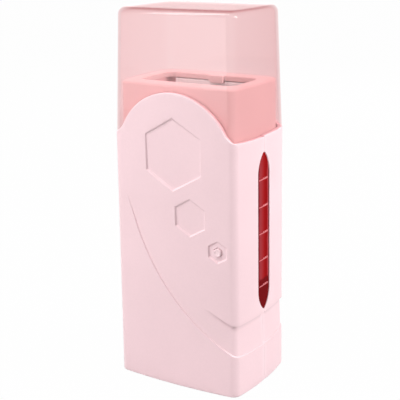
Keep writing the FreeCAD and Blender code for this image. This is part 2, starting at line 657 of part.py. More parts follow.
def cartridge_well():
    outer = rounded_box(WELL_HALF_WIDTH + WELL_WALL, WELL_BACK_Y, MOUTH_CORNER,
                        WELL_FLOOR - WELL_WALL, WELL_TOP)
    inner = rounded_box(WELL_HALF_WIDTH, WELL_HALF_DEPTH, MOUTH_CORNER - WELL_WALL,
                        WELL_FLOOR, WELL_TOP + PAST)
    well = outer.cut([inner, well_window()])
    bosses = [rod_y(x, clamp_height(), WELL_HALF_DEPTH, HEATER_BACK_Y, CLAMP_BOSS_RADIUS)
              for x in (-CLAMP_SCREW_SPACING / 2, CLAMP_SCREW_SPACING / 2)]
    well = well.fuse(bosses)
    reach = HEATER_WIDTH / 2 + HEATER_CLEARANCE
    holes = [box((-reach, reach), (WELL_HALF_DEPTH - PAST, WELL_BACK_Y + PAST),
                 (HEATER_BOTTOM - HEATER_CLEARANCE, HEATER_BOTTOM + HEATER_HEIGHT + HEATER_CLEARANCE))]
    wide, _, tall = THERMOSTAT_SIZE
    reach = wide / 2 + HEATER_CLEARANCE
    holes.append(box((-reach, reach), (WELL_HALF_DEPTH - PAST, WELL_BACK_Y + PAST),
                     (THERMOSTAT_BOTTOM - HEATER_CLEARANCE, THERMOSTAT_BOTTOM + tall + HEATER_CLEARANCE)))
    for x in (-CLAMP_SCREW_SPACING / 2, CLAMP_SCREW_SPACING / 2):
        holes.append(rod_y(x, clamp_height(), WELL_HALF_DEPTH + PLATE_BACKSET, HEATER_BACK_Y + PAST,
                           SMALL_SCREW_RADIUS + HOLE_CLEARANCE))
    return well.cut(holes)


def heat_plate(y_sign):
    """Lines one broad wall of the well. Its top edge is chamfered, so the cartridge slides in."""
    half = MOUTH_WIDTH / 2 - PLATE_SIDE_MARGIN
    plate = box((-half, half), (PLATE_FACE_Y, WELL_HALF_DEPTH), (WELL_FLOOR, WELL_TOP - PLATE_TOP_MARGIN))
    top_front = [e for e in plate.Edges if e.BoundBox.ZMin > WELL_TOP - PLATE_TOP_MARGIN - NEAR
                 and e.BoundBox.YMax < PLATE_FACE_Y + NEAR]
    plate = plate.makeChamfer(PLATE_THICKNESS / 2, top_front)
    return plate if y_sign > 0 else mirrored(plate, V(0, 1, 0))


def ptc_heater():
    half = HEATER_WIDTH / 2
    return box((-half, half), (WELL_HALF_DEPTH, HEATER_BACK_Y),
               (HEATER_BOTTOM, HEATER_BOTTOM + HEATER_HEIGHT))


def clamp_height():
    return HEATER_BOTTOM + HEATER_HEIGHT / 2


def heater_clamp():
    """Steel strip with rounded ends that presses the heater on the rear plate."""
    half = CLAMP_LENGTH / 2
    low = clamp_height() - CLAMP_WIDTH / 2
    strip = box((-half, half), (HEATER_BACK_Y, HEATER_BACK_Y + CLAMP_THICKNESS), (low, low + CLAMP_WIDTH))
    upright = [e for e in strip.Edges if abs(e.Vertexes[0].Y - e.Vertexes[1].Y) > CLAMP_THICKNESS / 2]
    strip = strip.makeFillet(CLAMP_WIDTH / 4, upright)
    holes = [rod_y(x, clamp_height(), HEATER_BACK_Y - PAST, HEATER_BACK_Y + CLAMP_THICKNESS + PAST,
                   SMALL_SCREW_RADIUS + HOLE_CLEARANCE)
             for x in (-CLAMP_SCREW_SPACING / 2, CLAMP_SCREW_SPACING / 2)]
    return strip.cut(holes)


def small_screw(x, z, seat_y, length, y_sign):
    """A pan-head screw along Y. Its head stands on the side of y_sign."""
    if y_sign > 0:
        shank = rod_y(x, z, seat_y - length, seat_y, SMALL_SCREW_RADIUS)
        head = rod_y(x, z, seat_y, seat_y + SMALL_HEAD_HEIGHT, SMALL_HEAD_RADIUS)
    else:
        shank = rod_y(x, z, seat_y, seat_y + length, SMALL_SCREW_RADIUS)
        head = rod_y(x, z, seat_y - SMALL_HEAD_HEIGHT, seat_y, SMALL_HEAD_RADIUS)
    return shank.fuse(head).removeSplitter()


def clamp_screws():
    seat = HEATER_BACK_Y + CLAMP_THICKNESS
    return Part.makeCompound([small_screw(x, clamp_height(), seat, SMALL_SCREW_LENGTH, 1)
                              for x in (-CLAMP_SCREW_SPACING / 2, CLAMP_SCREW_SPACING / 2)])


def thermostat():
    wide, deep, tall = THERMOSTAT_SIZE
    body = box((-wide / 2, wide / 2), (WELL_HALF_DEPTH, WELL_HALF_DEPTH + deep),
               (THERMOSTAT_BOTTOM, THERMOSTAT_BOTTOM + tall))
    upright = [e for e in body.Edges if abs(e.Vertexes[0].Y - e.Vertexes[1].Y) > deep / 2]
    return body.makeFillet(tall / 4, upright)


def thermal_fuse():
    y = HEATER_BACK_Y + CLAMP_THICKNESS + FUSE_RADIUS + HOLE_CLEARANCE
    bar = Part.makeCylinder(FUSE_RADIUS, FUSE_LENGTH, V(-FUSE_LENGTH / 2, y, clamp_height()), V(1, 0, 0))
    ends = [e for e in bar.Edges if e.Closed]
    return bar.makeChamfer(FUSE_RADIUS / 3, ends)


# ---- Control board, switch and button ----
def control_board():
    board = box((BOARD_LEFT, BOARD_RIGHT), (BOARD_FRONT_Y, BOARD_BACK_Y), (BOARD_BOTTOM, BOARD_TOP))
    holes = [rod_y(x, z, BOARD_FRONT_Y - PAST, BOARD_BACK_Y + PAST, SMALL_SCREW_RADIUS + HOLE_CLEARANCE)
             for x, z in BOARD_BOSSES]
    notch_radius = SHELL_BOSS_RADIUS + BOARD_NOTCH_CLEARANCE
    notches = [rod_y(x, z, BOARD_FRONT_Y - PAST, BOARD_BACK_Y + PAST, notch_radius)
               for x, z in corners(SCREW_X, SCREW_ROWS)]
    return board.cut(holes + notches)


def board_screws():
    return Part.makeCompound([small_screw(x, z, BOARD_BACK_Y, SMALL_SCREW_LENGTH, 1)
                              for x, z in BOARD_BOSSES])


def board_part(size, place):
    """A plain part on the back of the board. Its place is counted from the board's low left corner."""
    wide, deep, tall = size
    x = BOARD_LEFT + place[0]
    z = BOARD_BOTTOM + place[1]
    body = box((x, x + wide), (BOARD_BACK_Y, BOARD_BACK_Y + deep), (z, z + tall))
    outer = [e for e in body.Edges if e.BoundBox.YMin > BOARD_BACK_Y + deep - NEAR]
    return body.makeFillet(min(size) / 10, outer)


def button_face_y():
    x, z, _ = SMALL_HEX
    return front_y(x, z, 0) - BUTTON_PROUD


def button_flange_y():
    x, z, _ = SMALL_HEX
    return front_y(x, z, SHELL_WALL) + FLANGE_GAP


def switch_front_y():
    return BOARD_FRONT_Y - SWITCH_HEIGHT


def stem_end_y():
    return switch_front_y() - BUTTON_TRAVEL - PLUNGER_CLEARANCE


def tact_switch():
    x, z, _ = SMALL_HEX
    half = SWITCH_SIZE / 2
    body = box((x - half, x + half), (switch_front_y(), BOARD_FRONT_Y), (z - half, z + half))
    bore = rod_y(x, z, switch_front_y() - PAST, BOARD_FRONT_Y - SWITCH_HEIGHT / 4,
                 PLUNGER_RADIUS + PLUNGER_CLEARANCE)
    return body.cut(bore)


def switch_plunger():
    x, z, _ = SMALL_HEX
    return rod_y(x, z, stem_end_y(), switch_front_y() + SWITCH_HEIGHT / 2 - BUTTON_TRAVEL, PLUNGER_RADIUS)


def power_button():
    """Hexagonal key with a flange that keeps it behind the shell."""
    x, z, _ = SMALL_HEX
    flange = button_flange_y()
    key = hexagon(x, z, BUTTON_RADIUS, button_face_y(), flange)
    face_edges = [e for e in key.Edges if e.BoundBox.YMax < button_face_y() + NEAR]
    key = key.makeFillet(BUTTON_PROUD, face_edges)
    disc = rod_y(x, z, flange, flange + BUTTON_FLANGE_THICKNESS, BUTTON_FLANGE)
    stem = rod_y(x, z, flange + BUTTON_FLANGE_THICKNESS, stem_end_y(), PLUNGER_RADIUS)
    return key.fuse([disc, stem]).removeSplitter()


# ---- Mains inlet and leads ----
def inlet_socket():
    half_wide = INLET_WIDTH / 2
    half_tall = INLET_TALL / 2
    back = HALF_DEPTH - INLET_SUNK
    body = box((-half_wide, half_wide), (INLET_FRONT_Y, back),
               (INLET_HEIGHT - half_tall, INLET_HEIGHT + half_tall))
    body = body.common(block(0, INLET_SUNK, RIM_HEIGHT, INLET_SUNK))
    wide = half_wide + INLET_FLANGE
    tall = half_tall + INLET_FLANGE
    seat = HALF_DEPTH - FRONT_BOW - SHELL_WALL - INLET_CLEARANCE
    flange = box((-wide, wide), (seat - INLET_FLANGE, HALF_DEPTH),
                 (INLET_HEIGHT - tall, INLET_HEIGHT + tall))
    lining = SHELL_WALL + INLET_CLEARANCE
    body = body.fuse(flange.common(block(0, lining, RIM_HEIGHT, lining)))
    recess = [rod_y(x, INLET_HEIGHT, SOCKET_FLOOR_Y, HALF_DEPTH + PAST, SOCKET_RADIUS)
              for x in (-SOCKET_SPACING / 2, SOCKET_SPACING / 2)]
    recess.append(box((-SOCKET_SPACING / 2, SOCKET_SPACING / 2), (SOCKET_FLOOR_Y, HALF_DEPTH + PAST),
                      (INLET_HEIGHT - SOCKET_WAIST, INLET_HEIGHT + SOCKET_WAIST)))
    for x in (-PIN_SPACING / 2, PIN_SPACING / 2):
        recess.append(rod_y(x, INLET_HEIGHT, INLET_FRONT_Y - PAST, HALF_DEPTH,
                            PIN_SHANK_RADIUS + HOLE_CLEARANCE))
    return body.cut(recess)


def inlet_pins():
    pins = []
    for x in (-PIN_SPACING / 2, PIN_SPACING / 2):
        contact = rod_y(x, INLET_HEIGHT, SOCKET_FLOOR_Y, SOCKET_FLOOR_Y + PIN_LENGTH, PIN_RADIUS)
        tip = [e for e in contact.Edges if e.BoundBox.YMin > SOCKET_FLOOR_Y + PIN_LENGTH - NEAR]
        contact = contact.makeChamfer(PIN_TIP, tip)
        shank = rod_y(x, INLET_HEIGHT, INLET_FRONT_Y - PIN_TAIL, SOCKET_FLOOR_Y, PIN_SHANK_RADIUS)
        pins.append(contact.fuse(shank).removeSplitter())
    return Part.makeCompound(pins)


def lead(points):
    """A round wire along straight runs joined by tangent arcs."""
    edges = []
    start = points[0]
    for before, corner, after in zip(points, points[1:], points[2:]):
        incoming = corner - before
        outgoing = after - corner
        setback = BEND_SHARE * min(incoming.Length, outgoing.Length)
        incoming = incoming * (1 / incoming.Length)
        outgoing = outgoing * (1 / outgoing.Length)
        half_turn = incoming.getAngle(outgoing) / 2
        bend_radius = setback / math.tan(half_turn)
        enter = corner - incoming * setback
        leave = corner + outgoing * setback
        inward = outgoing - incoming
        inward = inward * (1 / inward.Length)
        centre = corner + inward * (bend_radius / math.cos(half_turn))
        middle = centre - inward * bend_radius
        edges.append(Part.LineSegment(start, enter).toShape())
        edges.append(Part.Arc(enter, middle, leave).toShape())
        start = leave
    edges.append(Part.LineSegment(start, points[-1]).toShape())
    path = Part.Wire(edges)
    along = points[1] - points[0]
    section = Part.Wire([Part.makeCircle(LEAD_RADIUS, points[0], along)])
    return path.makePipeShell([section], True, False)


def terminal_rows():
    """Where the two columns and the two rows of wire entries are."""
    x = BOARD_LEFT + TERMINAL_PLACE[0]
    z = BOARD_BOTTOM + TERMINAL_PLACE[1]
    wide, deep, tall = TERMINAL_SIZE
    columns = (x + wide / 4, x + wide * 3 / 4)
    rows = (z + tall / 5, z + tall * 4 / 5)
    return columns, rows, BOARD_BACK_Y + deep


def supply_leads():
    columns, rows, terminal_y = terminal_rows()
    tail = INLET_FRONT_Y - PIN_TAIL
    wires = []
    for x, column in zip((-PIN_SPACING / 2, PIN_SPACING / 2), columns):
        wires.append(lead([
            V(x, tail, INLET_HEIGHT), V(x, tail - LEAD_STRAIGHT, INLET_HEIGHT),
            V(column, terminal_y + LEAD_STRAIGHT, rows[0]), V(column, terminal_y, rows[0])]))
    return Part.makeCompound(wires)


def heater_leads():
    columns, rows, terminal_y = terminal_rows()
    heater_y = WELL_BACK_Y + 2 * LEAD_RADIUS
    wires = []
    for x, column in zip((-HEATER_LEAD_X, HEATER_LEAD_X), columns):
        wires.append(lead([
            V(column, terminal_y, rows[1]), V(column, terminal_y + LEAD_STRAIGHT, rows[1]),
            V(x, heater_y, WELL_FLOOR - LEAD_DROP), V(x, heater_y, HEATER_BOTTOM)]))
    return Part.makeCompound(wires)


# ---- Lenses, screws, feet and cap ----
def mark_heights():
    return [MARK_TOP - MARK_PITCH * i for i in range(MARK_COUNT)]


def window_lens(x_sign):
    """Red lens with raised level marks, and a flange that grips behind the shells."""
    behind = SHELL_WALL + HOLE_CLEARANCE
    deep = behind + LENS_FLANGE_THICKNESS
    low = WINDOW_BOTTOM - 2 * LENS_FLANGE
    high = WINDOW_TOP + 2 * LENS_FLANGE
    inside = block(low - PAST, deep, high + PAST, deep)
    pane = block(low, LENS_SUNK, high, LENS_SUNK).cut(inside).common(window_hole(-LENS_CLEARANCE))
    flange = block(low, behind, high, behind).cut(inside).common(window_hole(LENS_FLANGE))
    proud = LENS_SUNK - MARK_HEIGHT
    skin = block(low, proud, high, proud).cut(inside)
    half = min(MARK_LENGTH / 2, WINDOW_HALF_WIDTH - 2 * LENS_CLEARANCE)
    bars = [box((0, CLEAR_OUTSIDE), (-half, half), (z - MARK_THICKNESS / 2, z + MARK_THICKNESS / 2))
            for z in mark_heights()]
    marks = [bar.common(skin) for bar in bars]
    right_side = box((0, CLEAR_OUTSIDE), (-HALF_DEPTH, HALF_DEPTH), (low, high))
    lens = pane.fuse([flange] + marks).common(right_side)
    return lens if x_sign > 0 else mirrored(lens, V(1, 0, 0))


def shell_screws():
    screws = []
    for x, z in corners(SCREW_X, SCREW_ROWS):
        shank = rod_y(x, z, SCREW_SEAT_Y - SCREW_LENGTH, SCREW_SEAT_Y, SCREW_RADIUS)
        head = rod_y(x, z, SCREW_SEAT_Y, SCREW_SEAT_Y + SCREW_HEAD_HEIGHT, SCREW_HEAD_RADIUS)
        screws.append(shank.fuse(head).removeSplitter())
    return Part.makeCompound(screws)


def feet():
    pads = []
    for x, y in corners(FOOT_X, (-FOOT_Y, FOOT_Y)):
        pad = Part.makeCylinder(FOOT_RADIUS, FOOT_THICKNESS, V(x, y, 0))
        low = [e for e in pad.Edges if e.BoundBox.ZMax < NEAR]
        pads.append(pad.makeChamfer(FOOT_PROUD / 2, low))
    return Part.makeCompound(pads)


def lid():
    """Clear cap that follows the joint line and tapers a little towards its top."""
    low = SIDE_LEVEL - PAST
    outer = block(low, 0, TOTAL_HEIGHT, CAP_TAPER, CORNER_RADIUS)
    top = [e for e in outer.Edges if min(v.Z for v in e.Vertexes) > TOTAL_HEIGHT - NEAR]
    outer = outer.makeFillet(CAP_EDGE_RADIUS, top)
    inner_corner = CORNER_RADIUS - CAP_WALL
    inner = block(low - PAST, CAP_WALL, TOTAL_HEIGHT - CAP_WALL, CAP_WALL + CAP_TAPER, inner_corner)
    inner_top = [e for e in inner.Edges if min(v.Z for v in e.Vertexes) > TOTAL_HEIGHT - CAP_WALL - NEAR]
    inner = inner.makeFillet(CAP_EDGE_RADIUS - CAP_WALL, inner_top)
    below = [under_joint(SIDE_LEVEL, CAP_GAP, -CLEAR_OUTSIDE, 0),
             under_joint(SIDE_LEVEL + REAR_STEP, CAP_GAP, -CAP_GAP, CLEAR_OUTSIDE)]
    return outer.cut([inner] + below)


def build():
    shape = housing()
    hollow = cavity()
    return {
        "front_shell": front_shell(shape, hollow),
        "rear_shell": rear_shell(shape, hollow),
        "collar": collar(),
        "cartridge_well": cartridge_well(),
        "heat_plate_front": heat_plate(-1),
        "heat_plate_rear": heat_plate(1),
        "ptc_heater": ptc_heater(),
        "heater_clamp": heater_clamp(),
        "clamp_screws": clamp_screws(),
        "thermostat": thermostat(),
        "thermal_fuse": thermal_fuse(),
        "control_board": control_board(),
        "board_screws": board_screws(),
        "film_capacitor": board_part(CAPACITOR_SIZE, CAPACITOR_PLACE),
        "terminal_block": board_part(TERMINAL_SIZE, TERMINAL_PLACE),
        "tact_switch": tact_switch(),
        "switch_plunger": switch_plunger(),
        "power_button": power_button(),
        "inlet_socket": inlet_socket(),
        "inlet_pins": inlet_pins(),
        "supply_leads": supply_leads(),
        "heater_leads": heater_leads(),
        "window_lens_right": window_lens(1),
        "window_lens_left": window_lens(-1),
        "shell_screws": shell_screws(),
        "feet": feet(),
        "lid": lid(),
    }


os.makedirs("parts", exist_ok=True)
for name, solid in build().items():
    solid.exportStep(f"parts/{name}.step")
    print(f"{name:20s} solids {len(solid.Solids)}  volume {solid.Volume:10.1f}  valid {solid.isValid()}")
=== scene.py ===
# %% [markdown]
# # A roll-on wax heater
# The real one is a slim upright housing of two moulded pink halves, a coral collar with the mouth
# of the cartridge well, a clear pink cap that lifts off, and a red sight window in each side.
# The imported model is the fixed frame. Every visible piece here is built where the frame says.

# %% Load the frame
import math
from functools import partialmethod

import bmesh
import bpy
import numpy as np
from mathutils import Matrix, Vector
from mathutils.geometry import delaunay_2d_cdt


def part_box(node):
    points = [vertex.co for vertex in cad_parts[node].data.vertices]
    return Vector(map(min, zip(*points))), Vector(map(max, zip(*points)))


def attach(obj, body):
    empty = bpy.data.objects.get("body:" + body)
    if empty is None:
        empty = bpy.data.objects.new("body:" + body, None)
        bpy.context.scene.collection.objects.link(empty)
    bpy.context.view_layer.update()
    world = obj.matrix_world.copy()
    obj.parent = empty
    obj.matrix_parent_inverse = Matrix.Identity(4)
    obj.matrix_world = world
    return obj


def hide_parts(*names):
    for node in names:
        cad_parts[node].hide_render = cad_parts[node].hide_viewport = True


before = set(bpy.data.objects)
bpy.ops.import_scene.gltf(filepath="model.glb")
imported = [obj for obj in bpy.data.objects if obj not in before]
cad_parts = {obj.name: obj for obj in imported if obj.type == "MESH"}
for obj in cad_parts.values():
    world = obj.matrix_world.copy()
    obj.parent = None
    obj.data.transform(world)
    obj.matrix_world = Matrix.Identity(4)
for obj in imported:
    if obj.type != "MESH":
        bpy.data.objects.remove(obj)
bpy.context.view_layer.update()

# %% [markdown]
# ## The plan of the housing
# Seen from above, the housing is a rounded rectangle whose four sides crown outwards. A mould maker
# draws it with three arcs for a quarter: front, corner, side. The angle that the wall faces grows
# steadily along them, so one number, the run from the front's middle, gives any point. Millimetres
# are used throughout, and a mesh is scaled to metres when it is made.

# %% Sizes of the plan
MM = 0.001
HALF_WIDTH = 39.0
HALF_DEPTH = 28.8
FRONT_BOW = 2.0
SIDE_BOW = 2.4
CORNER_RADIUS = 4.9
DRAFT = 0.005
SHELL_WALL = 2.4
FOOT_PROUD = 0.5
BASE_EDGE_RADIUS = 1.0
FRONT_RADIUS = ((HALF_WIDTH - SIDE_BOW) ** 2 + FRONT_BOW ** 2) / (2 * FRONT_BOW)
SIDE_RADIUS = ((HALF_DEPTH - FRONT_BOW) ** 2 + SIDE_BOW ** 2) / (2 * SIDE_BOW)
FRONT_CENTRE = np.array((0.0, FRONT_RADIUS - HALF_DEPTH))
SIDE_CENTRE = np.array((HALF_WIDTH - SIDE_RADIUS, 0.0))
FIRST_GUESS_Z = 60.0


def corner_arc(set_in, corner_radius):
    """The corner arc's centre, and the angles that the wall faces at its two ends."""
    front_reach = FRONT_RADIUS - set_in - corner_radius
    side_reach = SIDE_RADIUS - set_in - corner_radius
    between = SIDE_CENTRE - FRONT_CENTRE
    apart = np.hypot(*between)
    along = (front_reach ** 2 - side_reach ** 2 + apart ** 2) / (2 * apart)
    across = math.sqrt(front_reach ** 2 - along ** 2)
    forward = between / apart
    centre = FRONT_CENTRE + forward * along + np.array((-forward[1], forward[0])) * across
    ways = centre - FRONT_CENTRE, centre - SIDE_CENTRE
    return centre, *(math.atan2(way[0], -way[1]) for way in ways)


CORNER_CENTRE, CORNER_START, CORNER_END = corner_arc(0, CORNER_RADIUS)
ARCS = np.array([(*FRONT_CENTRE, FRONT_RADIUS), (*CORNER_CENTRE, CORNER_RADIUS),
                 (*SIDE_CENTRE, SIDE_RADIUS)])
RUN_MARKS = np.cumsum([0, FRONT_RADIUS * CORNER_START, CORNER_RADIUS * (CORNER_END - CORNER_START),
                       SIDE_RADIUS * (math.pi / 2 - CORNER_END)])
QUARTER_RUN = RUN_MARKS[-1]
print("a quarter of the way round is %.1f mm" % QUARTER_RUN)


def wall_point(run, z, set_in):
    """x and y on the front half's wall. A negative run goes to the left."""
    angle = np.interp(np.abs(run), RUN_MARKS, (0, CORNER_START, CORNER_END, math.pi / 2))
    centre_x, centre_y, radius = ARCS[(angle > CORNER_START).astype(int) + (angle >= CORNER_END)].T
    reach = radius - DRAFT * z - set_in
    x = (centre_x + reach * np.sin(angle)) * np.sign(run + 1e-9)
    return x, centre_y - reach * np.cos(angle)


def front_run(x, z):
    """The run at which the front's wall has this x."""
    return FRONT_RADIUS * np.arcsin(x / (FRONT_RADIUS - DRAFT * z))


def side_run(y, z):
    """The run at which the right side's wall is y in front of the seam."""
    return QUARTER_RUN - SIDE_RADIUS * np.arcsin(y / (SIDE_RADIUS - DRAFT * z))


def run_line(runs, height_of_x, rounds=6):
    """A line over the wall whose height is a rule of x."""
    z = np.full(len(runs), FIRST_GUESS_Z)
    for _ in range(rounds):
        z = height_of_x(wall_point(runs, z, 0)[0])
    return np.column_stack((runs, z))

# %% [markdown]
# ## The joint line and the window's outline
# The shells end in a dome in front and run level round the sides, with a flare between. The cap's
# edge is the same line, raised by an even gap. The window is a slot with two pointed ends.

# %% Joint line and window
DOME_TOP = 159.0
DOME_RADIUS = HALF_WIDTH - 5.0
FLARE_RADIUS = 10.0
SIDE_LEVEL = 135.6
REAR_STEP = 0.5
CAP_GAP = 0.3
WINDOW_HALF_WIDTH = 6.2
WINDOW_BOTTOM = 41.9
WINDOW_TOP = 128.3
WINDOW_BOTTOM_POINT = 11.8
WINDOW_TOP_POINT = 12.5
SEAM_SETBACK = 0.03


def joint_height(x, level, gap=0.0):
    """The joint line's height at x, or the cap's edge, a gap above it."""
    x = np.abs(x)
    dome = DOME_RADIUS + gap
    flare = FLARE_RADIUS - gap
    dome_z = DOME_TOP - DOME_RADIUS
    flare_z = level + gap + flare
    flare_x = math.sqrt((dome + flare) ** 2 - (flare_z - dome_z) ** 2)
    touch_x = flare_x * dome / (dome + flare)
    on_dome = dome_z + np.sqrt(np.maximum(dome ** 2 - x ** 2, 0))
    on_flare = flare_z - np.sqrt(np.maximum(flare ** 2 - (x - flare_x) ** 2, 0))
    return np.where(x < touch_x, on_dome, np.where(x < flare_x, on_flare, level + gap))


def window_edge(grow, steps=14, straights=24):
    """One side of the window, from its low tip to its high tip, as (y, z) pairs."""
    half = WINDOW_HALF_WIDTH + grow
    low_start = WINDOW_BOTTOM + WINDOW_BOTTOM_POINT
    high_start = WINDOW_TOP - WINDOW_TOP_POINT

    def pointed(start, tip):
        rise = tip - start
        radius = (half ** 2 + rise ** 2) / (2 * half)
        turn = np.linspace(math.asin(abs(rise) / radius), 0, steps)
        return np.column_stack((half - radius + radius * np.cos(turn),
                                start + math.copysign(1, rise) * radius * np.sin(turn)))

    low = pointed(low_start, WINDOW_BOTTOM - grow)
    high = pointed(high_start, WINDOW_TOP + grow)[::-1]
    between = np.linspace(low_start, high_start, straights)[1:-1]
    return np.vstack((low, np.column_stack((np.full(len(between), half), between)), high))


print("joint line from %.1f to %.1f mm" % (SIDE_LEVEL, joint_height(0.0, SIDE_LEVEL)))

# %% [markdown]
# ## Relief on the wall
# A long sweeping line comes down the front, goes round the right corner and along the side. Below
# it the wall is proud. Above it the wall is sunk a little, and fades back to flush. On the right a
# second line holds a deeper band. Both are a rule: how deep the wall lies at a given x and height.
# The step at each line is eased over half a millimetre, as polished tool steel would leave it.

# %% Relief depth
SWEEP_RADIUS = 117.5
SWEEP_CENTRE = np.array((86.6, 129.5))
SWEEP_TOP_Z = 89.5
SWEEP_DEPTH = 0.68
SWEEP_WIDTH = 11.8
SWEEP_FADE = 20.0
SWEEP_END_PROUD = 0.1
BAND_TOP = 40.3
BAND_DEPTH = 1.3
BAND_FADE_X = 19.5
BAND_SLOPE = math.radians(26)
BAND_BEND = 14.0
BAND_LEVEL_X = HALF_WIDTH - 1.0
CLIMB_X = BAND_LEVEL_X - BAND_BEND * math.sin(BAND_SLOPE)
CLIMB_Z = BAND_TOP + BAND_BEND * (1 - math.cos(BAND_SLOPE))
FADE_Z = CLIMB_Z + (CLIMB_X - BAND_FADE_X) * math.tan(BAND_SLOPE)
STEP_BEFORE = 0.12
STEP_WIDTH = 0.42
# Where the painted shade line under the band's ledge lies, and how it fades in from the front
LEDGE_MIDDLE = 0.25
LEDGE_HALF = 0.5
LEDGE_RUN_IN = 18
HALVINGS = 24
FAR_BELOW = 10


def sweep_height(x):
    return SWEEP_CENTRE[1] - np.sqrt(SWEEP_RADIUS ** 2 - (x - SWEEP_CENTRE[0]) ** 2)


def band_height(x):
    bend = BAND_TOP + BAND_BEND - np.sqrt(np.maximum(BAND_BEND ** 2 - (BAND_LEVEL_X - x) ** 2, 0))
    climb = CLIMB_Z + (CLIMB_X - x) * math.tan(BAND_SLOPE)
    return np.where(x < CLIMB_X, climb, np.where(x < BAND_LEVEL_X, bend, BAND_TOP))


def below_band(x, z):
    return (band_height(x) - z) * math.cos(BAND_SLOPE)


def ledge_shade_weight(x, z):
    """The weight of a painted shade line just below the band's upper edge, in place of the shadow
    under the ledge. It fades out within a millimetre.
    """
    near = np.clip(1.2 - np.abs(below_band(x, z) - LEDGE_MIDDLE) / LEDGE_HALF, 0, 1)
    return near * np.clip((x - BAND_FADE_X) / LEDGE_RUN_IN, 0, 1)


def eased_step(inside):
    share = np.clip((inside + STEP_BEFORE) / STEP_WIDTH, 0, 1)
    return share * share * (3 - 2 * share)


TOP_ANGLE = math.asin((SWEEP_CENTRE[1] - SWEEP_TOP_Z) / SWEEP_RADIUS)
TOWARDS_TOP = np.array((-math.cos(TOP_ANGLE), -math.sin(TOP_ANGLE)))
UP_THE_LINE = np.array((-math.sin(TOP_ANGLE), math.cos(TOP_ANGLE)))
SWEEP_TOP = SWEEP_CENTRE + TOWARDS_TOP * SWEEP_RADIUS
TO_FADE = np.array((BAND_FADE_X, FADE_Z)) - SWEEP_CENTRE
BAND_START = SWEEP_CENTRE + TO_FADE / np.hypot(*TO_FADE) * SWEEP_RADIUS


def between_lines(x, z):
    """The share along the wedge between sweep and band, and the share of the way up across it."""
    start = np.zeros(len(x))
    end = np.ones(len(x))
    for _ in range(HALVINGS):
        share = (start + end) / 2
        low_x = BAND_START[0] + (CLIMB_X - BAND_START[0]) * share
        low_z = sweep_height(low_x)
        high_x = BAND_FADE_X + (CLIMB_X - BAND_FADE_X) * share
        high_z = FADE_Z + (CLIMB_Z - FADE_Z) * share
        right_of = (high_x - low_x) * (z - low_z) - (high_z - low_z) * (x - low_x) < 0
        start = np.where(right_of, share, start)
        end = np.where(right_of, end, share)
    return share, (z - low_z) / (high_z - low_z)


def relief_depth(x, z):
    """How far the relief sinks the wall at x and z, front and back alike."""
    from_top = np.column_stack((x, z)) - SWEEP_TOP
    above = from_top @ UP_THE_LINE
    inside = np.where(above > 0, -(from_top @ TOWARDS_TOP),
                      SWEEP_RADIUS - np.hypot(x - SWEEP_CENTRE[0], z - SWEEP_CENTRE[1]))
    fade = np.clip(above / SWEEP_FADE, 0, 1)
    low = SWEEP_DEPTH - (SWEEP_DEPTH + SWEEP_END_PROUD) * fade
    high = -SWEEP_END_PROUD * fade
    depth = low + (high - low) * inside / SWEEP_WIDTH
    share, up = between_lines(x, z)
    depth = np.where(share > 1e-4, SWEEP_DEPTH * (1 - up) + BAND_DEPTH * share * up, depth)
    up = (z - sweep_height(x)) / (band_height(x) - sweep_height(x))
    depth = np.where(x > CLIMB_X, SWEEP_DEPTH + (BAND_DEPTH - SWEEP_DEPTH) * up, depth)
    under_band = np.where(x > BAND_FADE_X, below_band(x, z), FAR_BELOW)
    return np.clip(depth, 0, BAND_DEPTH) * eased_step(inside) * eased_step(under_band)

# %% [markdown]
# ## Honeycomb recesses
# Three hexagons are pressed into the front. Each floor is shallow at its top and at its upper right
# edge, and deepest on the lower left, and the walls slope. Floor and walls are planes, so the
# recess is the deeper of face and planes, and a smooth maximum gives it rounded edges. Six depths
# are given, one for each corner, and the floor is the plane that lies closest to them.

# %% Recess depth
HEX_DEPTHS = {90: 0.3, 150: 0.8, 210: 1.0, 270: 0.95, 330: 0.8, 30: 0.35}
HEX_TURNS = range(90, 450, 60)
HEX_WALL_SLOPE = 0.7
HEX_WALL_RUN = HEX_WALL_SLOPE * math.cos(math.radians(30))
HEX_EDGE = 0.2
FAR_INSIDE = -3.0
HEXAGONS = [(0.018 * HALF_WIDTH, 127.5, 19.0), (0.269 * HALF_WIDTH, 95.6, 10.1),
            (0.674 * HALF_WIDTH, 79.5, 6.0)]


def front_face_y(x, z, set_in=0.0):
    return FRONT_CENTRE[1] - np.sqrt((FRONT_RADIUS - set_in - DRAFT * z) ** 2 - x ** 2)


def smooth_max(a, b, width):
    share = np.clip(0.5 + 0.5 * (a - b) / width, 0, 1)
    return b + (a - b) * share + width * share * (1 - share)


def around(loop):
    """Each point of a closed loop, with the next one."""
    return zip(loop, np.roll(loop, -1, 0))


def hex_corner(place, degrees, reach=None):
    """A corner of a hexagon, or the point at another reach on the same ray."""
    reach = place[2] if reach is None else reach
    turn = math.radians(degrees)
    return place[:2] + reach * np.array((math.cos(turn), math.sin(turn)))


def hex_floor(place):
    """The floor's plane as y = level + slopes . (x, z), and the floor's six corners."""
    rims = np.array([hex_corner(place, degrees) for degrees in HEX_DEPTHS])
    sunk = front_face_y(*rims.T) + list(HEX_DEPTHS.values())
    fitted = np.linalg.lstsq(np.column_stack((rims, np.ones(6))), sunk, rcond=None)[0]
    slopes, level = fitted[:2], fitted[2]
    corners = []
    for degrees in HEX_TURNS:
        rim = hex_corner(place, degrees)
        depth = level + slopes @ rim - front_face_y(*rim)
        corners.append(hex_corner(place, degrees, place[2] - HEX_WALL_SLOPE * depth))
    return level, slopes, np.array(corners)


HEX_FLOORS = [hex_floor(place) for place in HEXAGONS]


